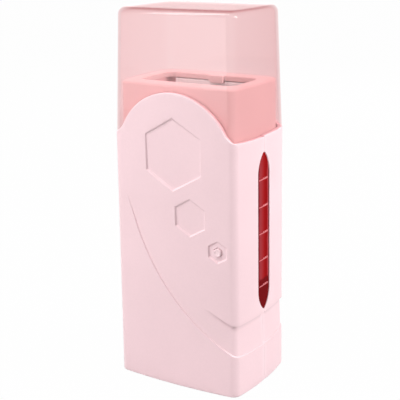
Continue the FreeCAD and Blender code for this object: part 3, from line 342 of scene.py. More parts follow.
def recess_depth(x, z):
    """How far the hexagons sink the front at x and z."""
    face = front_face_y(x, z)
    lowest = face.copy()
    for level, slopes, corners in HEX_FLOORS:
        outside = np.full(len(x), FAR_INSIDE)
        for start, end in around(corners):
            way = (end - start) / np.hypot(*(end - start))
            outside = np.maximum(outside, (x - start[0]) * way[1] - (z - start[1]) * way[0])
        outside = smooth_max(outside, np.zeros(len(x)), HEX_EDGE)
        floor = level + slopes[0] * x + slopes[1] * z
        lowest = smooth_max(floor - outside / HEX_WALL_RUN, lowest, HEX_EDGE)
    return lowest - face


for place, (level, slopes, corners) in zip(HEXAGONS, HEX_FLOORS):
    print("hexagon at", np.round(place, 1), "floor slopes", np.round(slopes, 3))

# %% [markdown]
# ## A moulded half shell
# The wall is unrolled to a flat sheet, run by height. Its edges and the lines of the relief are
# drawn there, with rows of points beside them, and a constrained Delaunay triangulation fills the
# rest. So the mesh has edges exactly on every line, and few faces where nothing happens. Then each
# point is rolled back to its place, and a second layer a wall's thickness inside closes the shell.

# %% Lines on a flat sheet
def resample(line, spacing):
    """The same line in even steps of about this spacing."""
    line = np.asarray(line, float)
    line = line[np.r_[True, np.hypot(*np.diff(line, axis=0).T) > 1e-9]]
    lengths = np.r_[0, np.cumsum(np.hypot(*np.diff(line, axis=0).T))]
    count = max(int(math.ceil(lengths[-1] / spacing)), 1)
    at = np.linspace(0, lengths[-1], count + 1)
    return np.column_stack([np.interp(at, lengths, line[:, i]) for i in (0, 1)])


def resample_loop(loop, spacing):
    return np.vstack([resample([a, b], spacing)[:-1] for a, b in around(loop)])


def beside(line, distances, closed=False):
    """Points beside a line, to its left for a positive distance."""
    if closed:
        ways = np.roll(line, -1, 0) - np.roll(line, 1, 0)
    else:
        ways = np.gradient(line, axis=0)
    ways /= np.hypot(*ways.T)[:, None]
    left = np.column_stack((-ways[:, 1], ways[:, 0]))
    return np.vstack([line + left * distance for distance in distances])


def distance_to(points, line, closed=False, batch=2000):
    """Each point's distance to a line of many short runs."""
    starts = line if closed else line[:-1]
    ends = np.roll(line, -1, 0) if closed else line[1:]
    ways = ends - starts
    square = np.maximum((ways ** 2).sum(1), 1e-12)
    best = np.empty(len(points))
    for first in range(0, len(points), batch):
        part = points[first:first + batch, None, :]
        share = np.clip(((part - starts) * ways).sum(2) / square, 0, 1)
        gap = part - (starts + share[..., None] * ways)
        best[first:first + batch] = np.sqrt((gap ** 2).sum(2).min(1))
    return best


def inside_loop(points, loop):
    x, z = points.T
    inside = np.zeros(len(points), bool)
    for (x1, z1), (x2, z2) in around(loop):
        if z1 != z2:
            crosses = (z1 > z) != (z2 > z)
            inside ^= crosses & (x < (x2 - x1) * (z - z1) / (z2 - z1) + x1)
    return inside


# %% Filling a sheet, and making a mesh
def triangulate(loops, lines, loose):
    """Fills the first loop, with the other loops as holes. Loops and lines become edges."""
    points = []
    edges = []
    for line, closed in [(loop, True) for loop in loops] + [(line, False) for line in lines]:
        first, count = len(points), len(line)
        points.extend(line)
        edges.extend((first + i, first + (i + 1) % count)
                     for i in range(count if closed else count - 1))
    points.extend(loose)
    found = delaunay_2d_cdt([Vector(p) for p in points], edges, [], 0, 1e-5, True)
    spots = np.array([tuple(v) for v in found[0]])
    faces = np.array(found[2])
    middles = spots[faces].mean(1)
    keep = inside_loop(middles, loops[0])
    for hole in loops[1:]:
        keep &= ~inside_loop(middles, hole)
    return spots, faces[keep], found[3]


def fill_loop(loop, grid, margin, rim, next_index):
    """Fills a loop, with grid points a margin inside it. The loop's first points are old ones, with
    the indices in rim. Gives the new points, numbered from next_index, and the faces."""
    grid = grid[inside_loop(grid, loop) & (distance_to(grid, loop, True) > margin)]
    flat, faces, origin = triangulate([loop], [], grid)
    where = np.empty(len(flat), int)
    new = []
    for i, sources in enumerate(origin):
        old = [s for s in sources if s < len(rim)]
        where[i] = rim[old[0]] if old else next_index + len(new)
        if not old:
            new.append(flat[i])
    return np.array(new), where[faces]


def into_scene(name, data):
    """An object at the origin, for a mesh, a lamp or a camera."""
    made = bpy.data.objects.new(name, data)
    bpy.context.scene.collection.objects.link(made)
    return made


def flat_mesh(name, points, faces=()):
    """A mesh from points in millimetres."""
    mesh = bpy.data.meshes.new(name)
    mesh.from_pydata([tuple(p) for p in np.asarray(points, float) * MM], [],
                     [tuple(int(i) for i in f) for f in faces])
    return mesh


def mesh_object(name, points, faces, sharp_degrees=35):
    mesh = flat_mesh(name, points, faces)
    mesh.validate()
    mesh.shade_smooth()
    mesh.set_sharp_from_angle(angle=math.radians(sharp_degrees))
    return into_scene(name, mesh)


# %% The edges of one half
GRID = 2.6
LOW_ROW = FOOT_PROUD + BASE_EDGE_RADIUS * (1 - math.pi / 2)
SEAM_RUN = QUARTER_RUN - SEAM_SETBACK
TIP_GAP = 0.02
EDGE_STEP = 1.5
FRONT_STEP = 0.9
FINE_STEP = 0.45
FINE_BEFORE = 6
FINE_AFTER = 3
CORNER_COLUMNS = 13
JOINT_LIP = 0.35
SEAM_LIP = 0.16
WINDOW_LIP = 0.3
HOLE_LIP = 0.25


def mirrored(line):
    return line[::-1] * (-1, 1)


def half_edges(level):
    """The sheet's closed edge, its columns, and its lips as (line, radius, closed)."""
    window = window_edge(0)
    window = window[window[:, 0] > SEAM_SETBACK]
    window = np.column_stack((side_run(*window.T), window[:, 1]))
    seams = ((LOW_ROW, window[0, 1] - TIP_GAP),
             (window[-1, 1] + TIP_GAP, joint_height(HALF_WIDTH, level)))
    low_seam, high_seam = [resample([(SEAM_RUN, z) for z in seam], EDGE_STEP) for seam in seams]
    right = np.vstack((low_seam, window, high_seam[:-1]))
    _, front_end, corner_end, _ = RUN_MARKS
    fine_start, fine_end = front_end - FINE_BEFORE, corner_end + FINE_AFTER
    runs = np.r_[np.arange(0, fine_start, FRONT_STEP), np.arange(fine_start, fine_end, FINE_STEP),
                 np.arange(fine_end, SEAM_RUN - 0.4, EDGE_STEP), SEAM_RUN]
    joint = run_line(np.r_[-runs[:0:-1], runs], lambda x: joint_height(x, level))[::-1]
    columns = np.r_[np.arange(0, front_end - 1, GRID),
                    np.linspace(front_end, corner_end, CORNER_COLUMNS),
                    np.arange(corner_end + 1.5, SEAM_RUN - 0.5, GRID)]
    columns = np.r_[-columns[:0:-1], columns]
    bottom = np.column_stack((columns, np.full(len(columns), LOW_ROW)))
    lips = [(joint, JOINT_LIP), (low_seam, SEAM_LIP), (high_seam, SEAM_LIP),
            (mirrored(low_seam), SEAM_LIP), (mirrored(high_seam), SEAM_LIP),
            (window, WINDOW_LIP), (mirrored(window), WINDOW_LIP)]
    outer = np.vstack((bottom, right, joint, mirrored(right)))
    return outer, columns, [(line, radius, False) for line, radius in lips]


# %% The sheet of one half
LIP_ROWS = (0.08, 0.3, 0.65, 1, 1.8)
GRID_START = 3.5
CLEAR_OF_LINES = 0.9


def fill_sheet(outer, columns, lips, holes, lines, extra):
    """Spots and faces of the flat sheet, with rows beside its lips and a grid between its lines."""
    loose = [extra]
    for line, radius, closed in lips:
        side = -radius if closed else radius
        loose.append(beside(line, [side * share for share in LIP_ROWS], closed))
    heights = np.r_[LOW_ROW + np.arange(1, 5) * math.pi / 8 * BASE_EDGE_RADIUS,
                    np.arange(GRID_START, DOME_TOP, GRID)]
    grid = np.array([(run, z) for z in heights for run in columns])
    near = np.full(len(grid), GRID)
    for line, closed in [lip[::2] for lip in lips] + [(line, False) for line in lines]:
        near = np.minimum(near, distance_to(grid, line, closed))
    loose = np.vstack(loose + [grid[near > CLEAR_OF_LINES]])
    loose = loose[inside_loop(loose, outer) & (loose[:, 1] > LOW_ROW + 0.01)]
    for hole in holes:
        loose = loose[~inside_loop(loose, hole)]
    spots, faces, _ = triangulate([outer] + holes, lines, loose)
    used, renumbered = np.unique(faces, return_inverse=True)
    return spots[used], renumbered.reshape(faces.shape)


# %% Rolling the sheet up
WORN_WIDTH = 1.0
INNER_START = 8
FLOOR_Z = FOOT_PROUD + SHELL_WALL
FLOOR_STEP = 4.0
FLOOR_MARGIN = 1.5
SAME_ROW = 1e-4
SHELL_SHARP = 50


def roll_up(spots, lips, depth_at):
    """The outer and inner points for the sheet's spots, and how worn each one is, less a painted
    shade just under the band's ledge.
    """
    run, row = spots.T
    under = np.clip(FOOT_PROUD + BASE_EDGE_RADIUS - row, 0, None) / BASE_EDGE_RADIUS
    z = np.where(under > 0, FOOT_PROUD + BASE_EDGE_RADIUS * (1 - np.sin(under)), row)
    wall_x = wall_point(run, z, 0)[0]
    depth = depth_at(wall_x, z, run)
    wear_and_shade = np.zeros(len(spots))
    for line, radius, closed in lips:
        gap = distance_to(spots, line, closed)
        wear_and_shade = np.maximum(wear_and_shade, np.clip(1 - gap / WORN_WIDTH, 0, 1))
        gap = np.clip(gap, 0, radius)
        depth = np.maximum(depth, depth + radius - np.sqrt(radius ** 2 - (radius - gap) ** 2))
    depth += BASE_EDGE_RADIUS * (1 - np.cos(under))
    low_z = FLOOR_Z + (row - LOW_ROW) * (INNER_START - FLOOR_Z) / (INNER_START - LOW_ROW)
    inner_z = np.where(row < INNER_START, low_z, row)
    return (np.column_stack((*wall_point(run, z, depth), z)),
            np.column_stack((*wall_point(run, inner_z, SHELL_WALL), inner_z)),
            wear_and_shade - ledge_shade_weight(wall_x, z))


def add_floor(spots, faces, outer, inner):
    """The half's floor, filled inside the sheet's lowest row."""
    run, row = spots.T
    base_row = np.flatnonzero(row < LOW_ROW + SAME_ROW)
    base_row = base_row[np.argsort(run[base_row])]
    base_loop = outer[base_row][:, :2]
    loop = np.vstack((base_loop, resample([base_loop[-1], base_loop[0]], FLOOR_STEP)[1:-1]))
    grid = np.array([(x, y) for x in np.arange(-36, 37, FLOOR_STEP)
                     for y in np.arange(-26, 0, FLOOR_STEP)])
    added, floor_faces = fill_loop(loop, grid, FLOOR_MARGIN, base_row, len(outer))
    outer, inner = [np.vstack((layer, np.column_stack((added, np.full(len(added), z)))))
                    for layer, z in ((outer, FOOT_PROUD), (inner, FLOOR_Z))]
    return np.vstack((faces, floor_faces[:, ::-1])), outer, inner


def half_shell(name, level, holes, lines, extra, depth_at, y_sign):
    """One half of the housing, with rounded lips at its joint, seam, window and holes."""
    edge, columns, lips = half_edges(level)
    lips += [(hole, HOLE_LIP, True) for hole in holes]
    spots, faces = fill_sheet(edge, columns, lips, holes, lines, extra)
    outer, inner, wear_and_shade = roll_up(spots, lips, depth_at)
    faces, outer, inner = add_floor(spots, faces, outer, inner)
    count = len(outer)
    sides = np.vstack((faces[:, :2], faces[:, 1:], faces[:, (2, 0)])).tolist()
    directed = dict.fromkeys(map(tuple, sides))
    rim = [(b, a, a + count, b + count) for a, b in directed if (b, a) not in directed]
    all_faces = [tuple(f) for f in faces] + [tuple(f[::-1] + count) for f in faces] + rim
    points = np.vstack((outer, inner))
    if y_sign > 0:
        points[:, 1] *= -1
        all_faces = [f[::-1] for f in all_faces]
    made = mesh_object(name, points, all_faces, SHELL_SHARP)
    # Edge wear above zero, and a painted shade line under the band's ledge below zero
    rubbed = made.data.attributes.new("worn_edge", "FLOAT", "POINT")
    rubbed.data.foreach_set("value", np.r_[wear_and_shade, np.zeros(len(points) - len(wear_and_shade))])
    print(name, len(points), "points", len(all_faces), "faces")
    return made


# %% The lines that both halves share
STEP_ROWS = (-0.3, -0.12, -0.05, 0.03, 0.1, 0.17, 0.24, 0.3, 0.5)
ARC_END_X = 33
RUN_UP_SHARE = 0.86
LINE_STEP = 0.6


def runs_from(start):
    """Runs from start to the seam, close together as far as the corner's end."""
    past_corner = RUN_MARKS[2] + 1
    return np.r_[np.arange(start, past_corner, LINE_STEP),
                 np.arange(RUN_MARKS[2] + 1.6, QUARTER_RUN - 0.3, EDGE_STEP)]


sweep_angles = np.linspace(TOP_ANGLE, math.acos((SWEEP_CENTRE[0] - ARC_END_X) / SWEEP_RADIUS), 150)
on_arc = np.column_stack((SWEEP_CENTRE[0] - SWEEP_RADIUS * np.cos(sweep_angles),
                          SWEEP_CENTRE[1] - SWEEP_RADIUS * np.sin(sweep_angles)))
run_up = SWEEP_TOP + UP_THE_LINE * np.linspace(SWEEP_FADE * RUN_UP_SHARE, 0, 22)[:-1, None]
sweep_line = np.vstack((run_up, on_arc))
sweep_line[:, 0] = front_run(*sweep_line.T)
round_corner = run_line(runs_from(sweep_line[-1, 0] + LINE_STEP), sweep_height)
sweep_line = np.vstack((sweep_line, round_corner))
band_line = run_line(runs_from(front_run(BAND_FADE_X, FADE_Z)), band_height)
relief_points = np.vstack((beside(sweep_line, STEP_ROWS),
                           beside(band_line, [-d for d in STEP_ROWS])))
print("sweep line", len(sweep_line), "points, band line", len(band_line))

# %% Front half
BUTTON_RADIUS = 2.4
BUTTON_CLEARANCE = 0.25
RECESS_ROWS = (-0.3, -0.15, 0, 0.15, 0.3)
RECESS_REACH_X = 34
button_x, button_z, _ = HEXAGONS[2]


def hex_loop(place):
    return np.array([hex_corner(place, degrees) for degrees in HEX_TURNS])


hex_points = []
for place, (_, _, corners) in zip(HEXAGONS, HEX_FLOORS):
    for loop in (hex_loop(place), corners):
        hex_points += [beside(resample(edge, 0.7), RECESS_ROWS) for edge in around(loop)]
hex_points = np.vstack(hex_points)
hex_points[:, 0] = front_run(*hex_points.T)
button_hole = resample_loop(hex_loop((button_x, button_z, BUTTON_RADIUS + BUTTON_CLEARANCE)), 0.4)
button_hole[:, 0] = front_run(*button_hole.T)


def front_depth(x, z, run):
    recess = recess_depth(np.clip(x, -RECESS_REACH_X, RECESS_REACH_X), z)
    return relief_depth(x, z) + np.where(np.abs(run) < RUN_MARKS[1], recess, 0)


housing_front = half_shell("housing_front", SIDE_LEVEL, [button_hole], [sweep_line, band_line],
                           np.vstack((relief_points, hex_points)), front_depth, -1)


# %% Rear half
INLET_HEIGHT = 20.0
INLET_HALF = (12.1, 7.1)
INLET_CORNER = 0.6
SCREW_X = 29.5
SCREW_ROWS = (10.5, 33.5)
SCREW_SEAT_Y = 12.0
SLEEVE_BORE = 2.8


def full_turn(count):
    return np.linspace(0, 2 * math.pi, count + 1)[:-1]


def round_corner_points(x, z, first, radius, steps):
    """An arc of 90 degrees about x and z, from the angle first on."""
    return [(x + radius * math.cos(turn), z + radius * math.sin(turn))
            for turn in np.radians(first + np.linspace(0, 90, steps))]


inlet_hole = []
for side_x, side_z, first in ((1, -1, -90), (1, 1, 0), (-1, 1, 90), (-1, -1, 180)):
    inlet_hole += round_corner_points(side_x * (INLET_HALF[0] - INLET_CORNER),
                                      INLET_HEIGHT + side_z * (INLET_HALF[1] - INLET_CORNER),
                                      first, INLET_CORNER, 5)
turn = full_turn(36)
rear_holes = [resample_loop(inlet_hole, 1.0)]
rear_holes += [np.column_stack((x + SLEEVE_BORE * np.cos(turn), z + SLEEVE_BORE * np.sin(turn)))
               for x in (-SCREW_X, SCREW_X) for z in SCREW_ROWS]
for hole in rear_holes:
    hole[:, 0] = front_run(*hole.T)
housing_rear = half_shell("housing_rear", SIDE_LEVEL + REAR_STEP, rear_holes,
                          [sweep_line, band_line], relief_points,
                          lambda x, z, run: relief_depth(x, z), 1)

# %% [markdown]
# ## Rings for the collar and the cap
# Both are closed loops that follow the plan, one above the other, like hoops on a former. Every
# hoop has the same number of points, dense at the corners, so neighbours join with plain quads.

# %% Hoops
FRONT_STEPS = 26
CORNER_STEPS = 12
SIDE_STEPS = 15


def at_height(ring, height):
    return np.column_stack((ring, np.full(len(ring), height)))


def quarter_to_hoop(quarter, height):
    """Mirrors a front-right quarter, from the front's middle to the side's, into a closed hoop."""
    right = np.vstack((quarter, (quarter * (1, -1))[-2::-1]))
    return at_height(np.vstack((right, (right * (-1, 1))[-2:0:-1])), height)


def plan_hoop(set_in, corner_radius, height):
    """A hoop that follows the plan, set in from it."""
    centre, start, end = corner_arc(set_in, corner_radius)
    quarter = []
    for middle, radius, first, last, steps in (
            (FRONT_CENTRE, FRONT_RADIUS - set_in, 0, start, FRONT_STEPS),
            (centre, corner_radius, start, end, CORNER_STEPS),
            (SIDE_CENTRE, SIDE_RADIUS - set_in, end, math.pi / 2, SIDE_STEPS)):
        arc = [middle + radius * np.array((math.sin(a), -math.cos(a)))
               for a in np.linspace(first, last, steps)]
        quarter += arc[1:] if quarter else arc
    return quarter_to_hoop(np.array(quarter), height)


def slot_hoop(half_width, half_depth, radius, height):
    """A rounded rectangle with the same count of points as plan_hoop."""
    turn = np.linspace(0, math.pi / 2, CORNER_STEPS)[1:]
    front = np.linspace(0, half_width - radius, FRONT_STEPS)
    side = np.linspace(-half_depth + radius, 0, SIDE_STEPS)[1:]
    return quarter_to_hoop(np.vstack((
        np.column_stack((front, np.full(FRONT_STEPS, -half_depth))),
        np.column_stack((half_width - radius + radius * np.sin(turn),
                         -half_depth + radius - radius * np.cos(turn))),
        np.column_stack((np.full(SIDE_STEPS - 1, half_width), side)))), height)


def join_hoops(hoops, close_ends=False):
    """Quads between neighbouring hoops. The last joins the first, or both ends close on a point."""
    count = len(hoops[0])
    points = np.vstack(hoops)
    faces = []
    for low in range(len(hoops) - 1 if close_ends else len(hoops)):
        high = (low + 1) % len(hoops)
        for i in range(count):
            j = (i + 1) % count
            faces.append((low * count + i, low * count + j, high * count + j, high * count + i))
    if close_ends:
        for hoop, flip in ((0, True), (len(hoops) - 1, False)):
            middle = len(points)
            points = np.vstack((points, hoops[hoop].mean(0)))
            for i in range(count):
                face = (hoop * count + i, hoop * count + (i + 1) % count, middle)
                faces.append(face[::-1] if flip else face)
    return points, faces


def quarter_turn(steps):
    """Angles from 0 to 90 degrees."""
    return np.linspace(0, math.pi / 2, steps)

# %% [markdown]
# ## Collar
# The collar is a cup turned upside down: a drafted wall, a soft outer edge, and a flat top with the
# mouth of the well in it. The mouth has a small radius all round, and a tongue at the back that
# catches the cartridge's shoulder.

# %% Build the collar
RIM_HEIGHT = 162.5
COLLAR_INSET = 2.9
COLLAR_BOTTOM = 131.6
COLLAR_WALL = 2.0
COLLAR_TOP = 2.7
COLLAR_CORNER = 4.0
COLLAR_EDGE = 1.4
INNER_CORNER = 2.0
SMALLEST_CORNER = 1.5
MOUTH_HALF = np.array((28.0, 14.4))
MOUTH_CORNER = 5.0
MOUTH_EDGE = 0.6


def mouth_hoop(grow, height):
    return slot_hoop(*(MOUTH_HALF + grow), MOUTH_CORNER + grow, height)


hoops = [plan_hoop(COLLAR_INSET + DRAFT * z, COLLAR_CORNER, z)
         for z in (COLLAR_BOTTOM, 140, 150, RIM_HEIGHT - COLLAR_EDGE - 0.6)]
for turn in quarter_turn(8):
    eased = COLLAR_EDGE * (1 - math.cos(turn))
    hoops.append(plan_hoop(COLLAR_INSET + DRAFT * RIM_HEIGHT + eased,
                           max(COLLAR_CORNER - eased, SMALLEST_CORNER),
                           RIM_HEIGHT - COLLAR_EDGE * (1 - math.sin(turn))))
last = hoops[-1]
hoops += [last + (mouth_hoop(MOUTH_EDGE, RIM_HEIGHT) - last) * share for share in (0.06, 0.5, 0.94)]
hoops += [mouth_hoop(MOUTH_EDGE * (1 - math.sin(turn)),
                     RIM_HEIGHT - MOUTH_EDGE * (1 - math.cos(turn))) for turn in quarter_turn(7)]
under = RIM_HEIGHT - COLLAR_TOP
hoops.append(mouth_hoop(0, under))
hoops += [plan_hoop(COLLAR_INSET + COLLAR_WALL + DRAFT * z, INNER_CORNER, z)
          for z in (under, COLLAR_BOTTOM)]
collar_points, collar_faces = join_hoops(hoops)
collar_faces = [f[::-1] for f in collar_faces]
print("collar hoops", len(hoops))

# %% Tongue in the mouth
TONGUE_X = 2.5
TONGUE_HALF = 4.25
TONGUE_Y = (12.0, 15.6)
TONGUE_Z = (158.5, RIM_HEIGHT + 0.02)
TONGUE_RADIUS = 0.35
TONGUE_CHAMFER = 1.2


def tongue_section(x, shrink):
    """A rounded rectangle across the tongue, cut away below at the tongue's left end."""
    y0, y1 = TONGUE_Y
    z0, z1 = TONGUE_Z
    low = z0 + (TONGUE_CHAMFER if x < -TONGUE_HALF + TONGUE_CHAMFER - 1e-6 else 0)
    inset = TONGUE_RADIUS + shrink
    ring = []
    for y, z, first in ((y1 - inset, z1 - inset, 0), (y0 + inset, z1 - inset, 90),
                        (y0 + inset, low + inset, 180), (y1 - inset, low + inset, 270)):
        ring += round_corner_points(y, z, first, TONGUE_RADIUS, 4)
    return np.array([(TONGUE_X + x, *point) for point in ring])


stations = [(-TONGUE_HALF, 0.6), (-TONGUE_HALF + TONGUE_RADIUS * 0.3, 0.15),
            (-TONGUE_HALF + TONGUE_RADIUS + TONGUE_CHAMFER, 0), (TONGUE_HALF - TONGUE_RADIUS, 0),
            (TONGUE_HALF - TONGUE_RADIUS * 0.3, 0.15), (TONGUE_HALF, 0.6)]
sections = [tongue_section(x, TONGUE_RADIUS * shrink) for x, shrink in stations]
tongue_points, tongue_faces = join_hoops(sections, True)
tongue_faces = [tuple(i + len(collar_points) for i in f) for f in tongue_faces]
collar = mesh_object("collar_ring", np.vstack((collar_points, tongue_points)),
                     collar_faces + tongue_faces)

# %% [markdown]
# ## Sight lenses
# Each lens is a red pane that fills the window, a little below the wall, with a wider flange behind
# it that the shells grip. Hoops of the window's outline make its edge. A filled sheet makes each
# face, because a face that curves with the wall needs points in its middle too.

# %% Build a lens
LENS_SUNK = 0.4
LENS_LEVELS = [(-0.4, LENS_SUNK), (-0.28, LENS_SUNK + 0.03), (-0.16, LENS_SUNK + 0.12),
               (-0.1, LENS_SUNK + 0.3), (-0.1, 2.45), (1.8, 2.45), (1.8, 3.55)]
PANE_MARGIN = 0.5
PANE_GRID = np.array([(y, z) for y in np.arange(-6, 6.1, 1.5) for z in np.arange(44, 130, 4.0)])


def window_loop(grow):
    edge = window_edge(grow)
    return np.vstack((edge, (edge * (-1, 1))[-2:0:-1]))


def on_side(loop, set_in):
    """Points of the unrolled side, as (y, z), set on the right wall."""
    z = loop[:, 1]
    reach = SIDE_RADIUS - DRAFT * z - set_in
    return np.column_stack((SIDE_CENTRE[0] + np.sqrt(reach ** 2 - loop[:, 0] ** 2), loop[:, 0], z))


def lens_pane(name, x_sign):
    """A stack of hoops round the window, with a filled face at each end."""
    hoops = [on_side(window_loop(grow), set_in) for grow, set_in in LENS_LEVELS]
    count = len(hoops[0])
    points, faces = join_hoops(hoops, True)
    points = points[:-2]
    faces = [f for f in faces if max(f) < len(points)]
    ends = (LENS_LEVELS[0], 0, 1), (LENS_LEVELS[-1], len(points) - count, -1)
    for (grow, set_in), first, way in ends:
        rim = range(first, first + count)
        new, filled = fill_loop(window_loop(grow), PANE_GRID, PANE_MARGIN, rim, len(points))
        points = np.vstack((points, on_side(new, set_in)))
        faces += [tuple(f[::way]) for f in filled]
    return mesh_object(name, points * (x_sign, 1, 1), faces)


lens_right = lens_pane("lens_pane_right", 1)
lens_left = lens_pane("lens_pane_left", -1)
print("lens", len(lens_right.data.vertices), "points")

# %% [markdown]
# ## Power button
# A small hexagonal key stands in the smallest recess. Its face is dished, so that a fingertip finds
# it, and a rounded rim runs round the dish. Behind the wall it has a round flange and a stem that
# reaches the switch. It is one stack of hoops, from the middle of the face to the stem's end.

# %% Build the button
BUTTON_PROUD = 0.4
KEY_POINTS = 72
KEY_PROFILE = [(0.5, 0.22), (1.0, 0.2), (1.35, 0.16), (1.52, 0.08), (1.68, 0.01), (1.82, -0.02),
               (1.98, 0.0), (2.14, 0.07), (2.27, 0.18), (2.36, 0.34), (BUTTON_RADIUS, 0.55)]
KEY_SUNK = 0.02
FLANGE_RADIUS = 3.8
FLANGE_THICK = 0.8
STEM_RADIUS = 1.6
face_y = float(front_face_y(button_x, button_z)) - BUTTON_PROUD
flange_y = float(front_face_y(button_x, button_z, SHELL_WALL)) + 0.6
stem_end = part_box("switch_plunger")[0][1] / MM


def round_hoop(radius, y):
    turn = full_turn(KEY_POINTS)
    return np.column_stack((button_x + radius * np.sin(turn), np.full(KEY_POINTS, y),
                            button_z + radius * np.cos(turn)))


def hex_hoop(radius, y):
    """A hexagon with softened corners, standing upright."""
    wedge = full_turn(KEY_POINTS) % (math.pi / 3) - math.pi / 6
    return round_hoop(np.minimum(radius * math.cos(math.pi / 6) / np.cos(wedge), radius * 0.975), y)


hoops = [hex_hoop(radius, face_y + KEY_SUNK + sunk) for radius, sunk in KEY_PROFILE]
hoops.append(hex_hoop(BUTTON_RADIUS, flange_y))
hoops += [round_hoop(radius, y) for radius, y in (
    (FLANGE_RADIUS, flange_y), (FLANGE_RADIUS, flange_y + FLANGE_THICK),
    (STEM_RADIUS, flange_y + FLANGE_THICK), (STEM_RADIUS, stem_end))]
key = mesh_object("power_key", *join_hoops(hoops, True))
print("button face at y %.2f mm" % face_y)

# %% [markdown]
# ## Finishes
# Every finish is a set of shader nodes that reads the piece's own coordinates, so a pattern stays
# on its piece from any side and when it moves. The helpers below add a node, set its options, and
# fill its inputs with plain values or with the outputs of other nodes.

# %% Node helpers
def fill(tree, made, inputs):
    """Gives a node's inputs plain values, or the outputs of other nodes."""
    for key, value in inputs.items():
        if isinstance(value, bpy.types.NodeSocket):
            tree.links.new(value, made.inputs[key])
        else:
            made.inputs[key].default_value = value
    return made


def node(tree, kind, inputs=None, **settings):
    made = tree.nodes.new(kind)
    for name, value in settings.items():
        setattr(made, name, value)
    return fill(tree, made, inputs or {})


def calc(tree, operation, *terms):
    """The output of one Math node."""
    return node(tree, "ShaderNodeMath", dict(enumerate(terms)), operation=operation).outputs[0]


def noise(tree, where, scale, detail, **more):
    inputs = {"Vector": where, "Scale": scale, "Detail": detail, **more}
    return node(tree, "ShaderNodeTexNoise", inputs).outputs["Fac"]


def spread(tree, value, low, high, start, end, **settings):
    """A value between low and high, as a share of the range from start to end."""
    inputs = {"Value": value, "From Min": low, "From Max": high, "To Min": start, "To Max": end}
    return node(tree, "ShaderNodeMapRange", inputs, **settings).outputs[0]


def bump(tree, height, strength, distance, **more):
    inputs = {"Height": height, "Strength": strength, "Distance": distance, **more}
    return node(tree, "ShaderNodeBump", inputs).outputs["Normal"]


def ramp(tree, factor, stops):
    """A colour ramp through (position, colour) stops."""
    made = node(tree, "ShaderNodeValToRGB", {"Fac": factor})
    elements = made.color_ramp.elements
    while len(elements) < len(stops):
        elements.new(0.5)
    for element, (position, colour) in zip(elements, stops):
        element.position = position
        element.color = colour
    return made.outputs["Color"]


def blend(tree, factor, first, second):
    """Two colours mixed by a factor."""
    inputs = {0: factor, 6: first, 7: second}
    return node(tree, "ShaderNodeMix", inputs, data_type="RGBA").outputs[2]


def linear(*colour):
    """Red, green and blue from 0 to 255, as a shader writes them."""
    scaled = [c / 255 for c in colour]
    return tuple([c / 12.92 if c <= 0.04045 else ((c + 0.055) / 1.055) ** 2.4 for c in scaled]
                 + [1.0])


def shade(colour, amount):
    """A colour made paler or deeper by a share."""
    return tuple([min(max(c * (1 + amount), 0), 1) for c in colour[:3]] + [1.0])


def new_finish(name):
    """A material, its tree and its shader."""
    material = bpy.data.materials.new(name)
    material.use_nodes = True
    return material, material.node_tree, material.node_tree.nodes["Principled BSDF"]


def own_place(tree):
    return node(tree, "ShaderNodeTexCoord").outputs["Object"]

# %% [markdown]
# ## Moulded plastic
# The shells, collar and key come from steel moulds. What shows up close is a fine spark-eroded
# grain, a slow waviness where the wall cooled, slightly uneven colour and gloss, and edges that
# hands have polished paler. Noise at five sizes gives the first three. The worn edges read an
# attribute that the shells' meshes carry. It is one along their lips and fades inwards, and it is
# below zero just under the band's ledge, where the colour is made deeper as a painted shade
# line for the shadow under the ledge.

# %% Moulded plastic
CLOUD, SPECKLE, RUB, SMUDGE, WAVE, SPARK = 26.0, 900.0, 240.0, 45.0, 60.0, 1000.0
FINE_HEIGHT = 0.00002
WAVE_HEIGHT = 0.00012
RUBBED_PALER = 0.14
# How deep the painted shade under the band's ledge makes the colour, and how strongly
LEDGE_SHADE_DEEPER = -0.28
LEDGE_SHADE_SHARE = -0.8
RUBBED_GLOSS = -0.12


def moulded(name, colour, roughness=0.42, grain=0.25, specular=0.4, unevenness=0.03):
    material, tree, shader = new_finish(name)
    where = own_place(tree)
    base = linear(*colour)
    cloud = calc(tree, "MULTIPLY", noise(tree, where, CLOUD, 3.0), 0.7)
    tone = calc(tree, "MULTIPLY_ADD", noise(tree, where, SPECKLE, 2.0), 0.3, cloud)
    body = ramp(tree, tone, [(0.3, shade(base, -unevenness)), (0.7, shade(base, unevenness))])
    # Edge wear above zero, and the painted shade under the band's ledge below zero
    edge = node(tree, "ShaderNodeAttribute", attribute_name="worn_edge").outputs["Fac"]
    patches = calc(tree, "MULTIPLY_ADD", noise(tree, where, RUB, 4.0), 0.9, 0.1)
    wear_and_shade = calc(tree, "MULTIPLY", edge, patches)
    rubbed = blend(tree, wear_and_shade, body, shade(base, RUBBED_PALER))
    # Painted shade: the colour is made deeper just under the band's ledge
    with_ledge_shade = blend(tree, calc(tree, "MULTIPLY", edge, LEDGE_SHADE_SHARE), rubbed, shade(base, LEDGE_SHADE_DEEPER))
    smudge = noise(tree, where, SMUDGE, 5.0, Roughness=0.6)
    gloss = spread(tree, smudge, 0.3, 0.7, roughness - 0.05, roughness + 0.07)
    slow = bump(tree, noise(tree, where, WAVE, 1.0), 0.25, WAVE_HEIGHT)
    fine = bump(tree, noise(tree, where, SPARK / grain, 2.0), 0.3, FINE_HEIGHT, Normal=slow)
    fill(tree, shader, {"Base Color": with_ledge_shade, "Normal": fine, "Specular IOR Level": specular,
                        "Roughness": calc(tree, "MULTIPLY_ADD", wear_and_shade, RUBBED_GLOSS, gloss)})
    return material


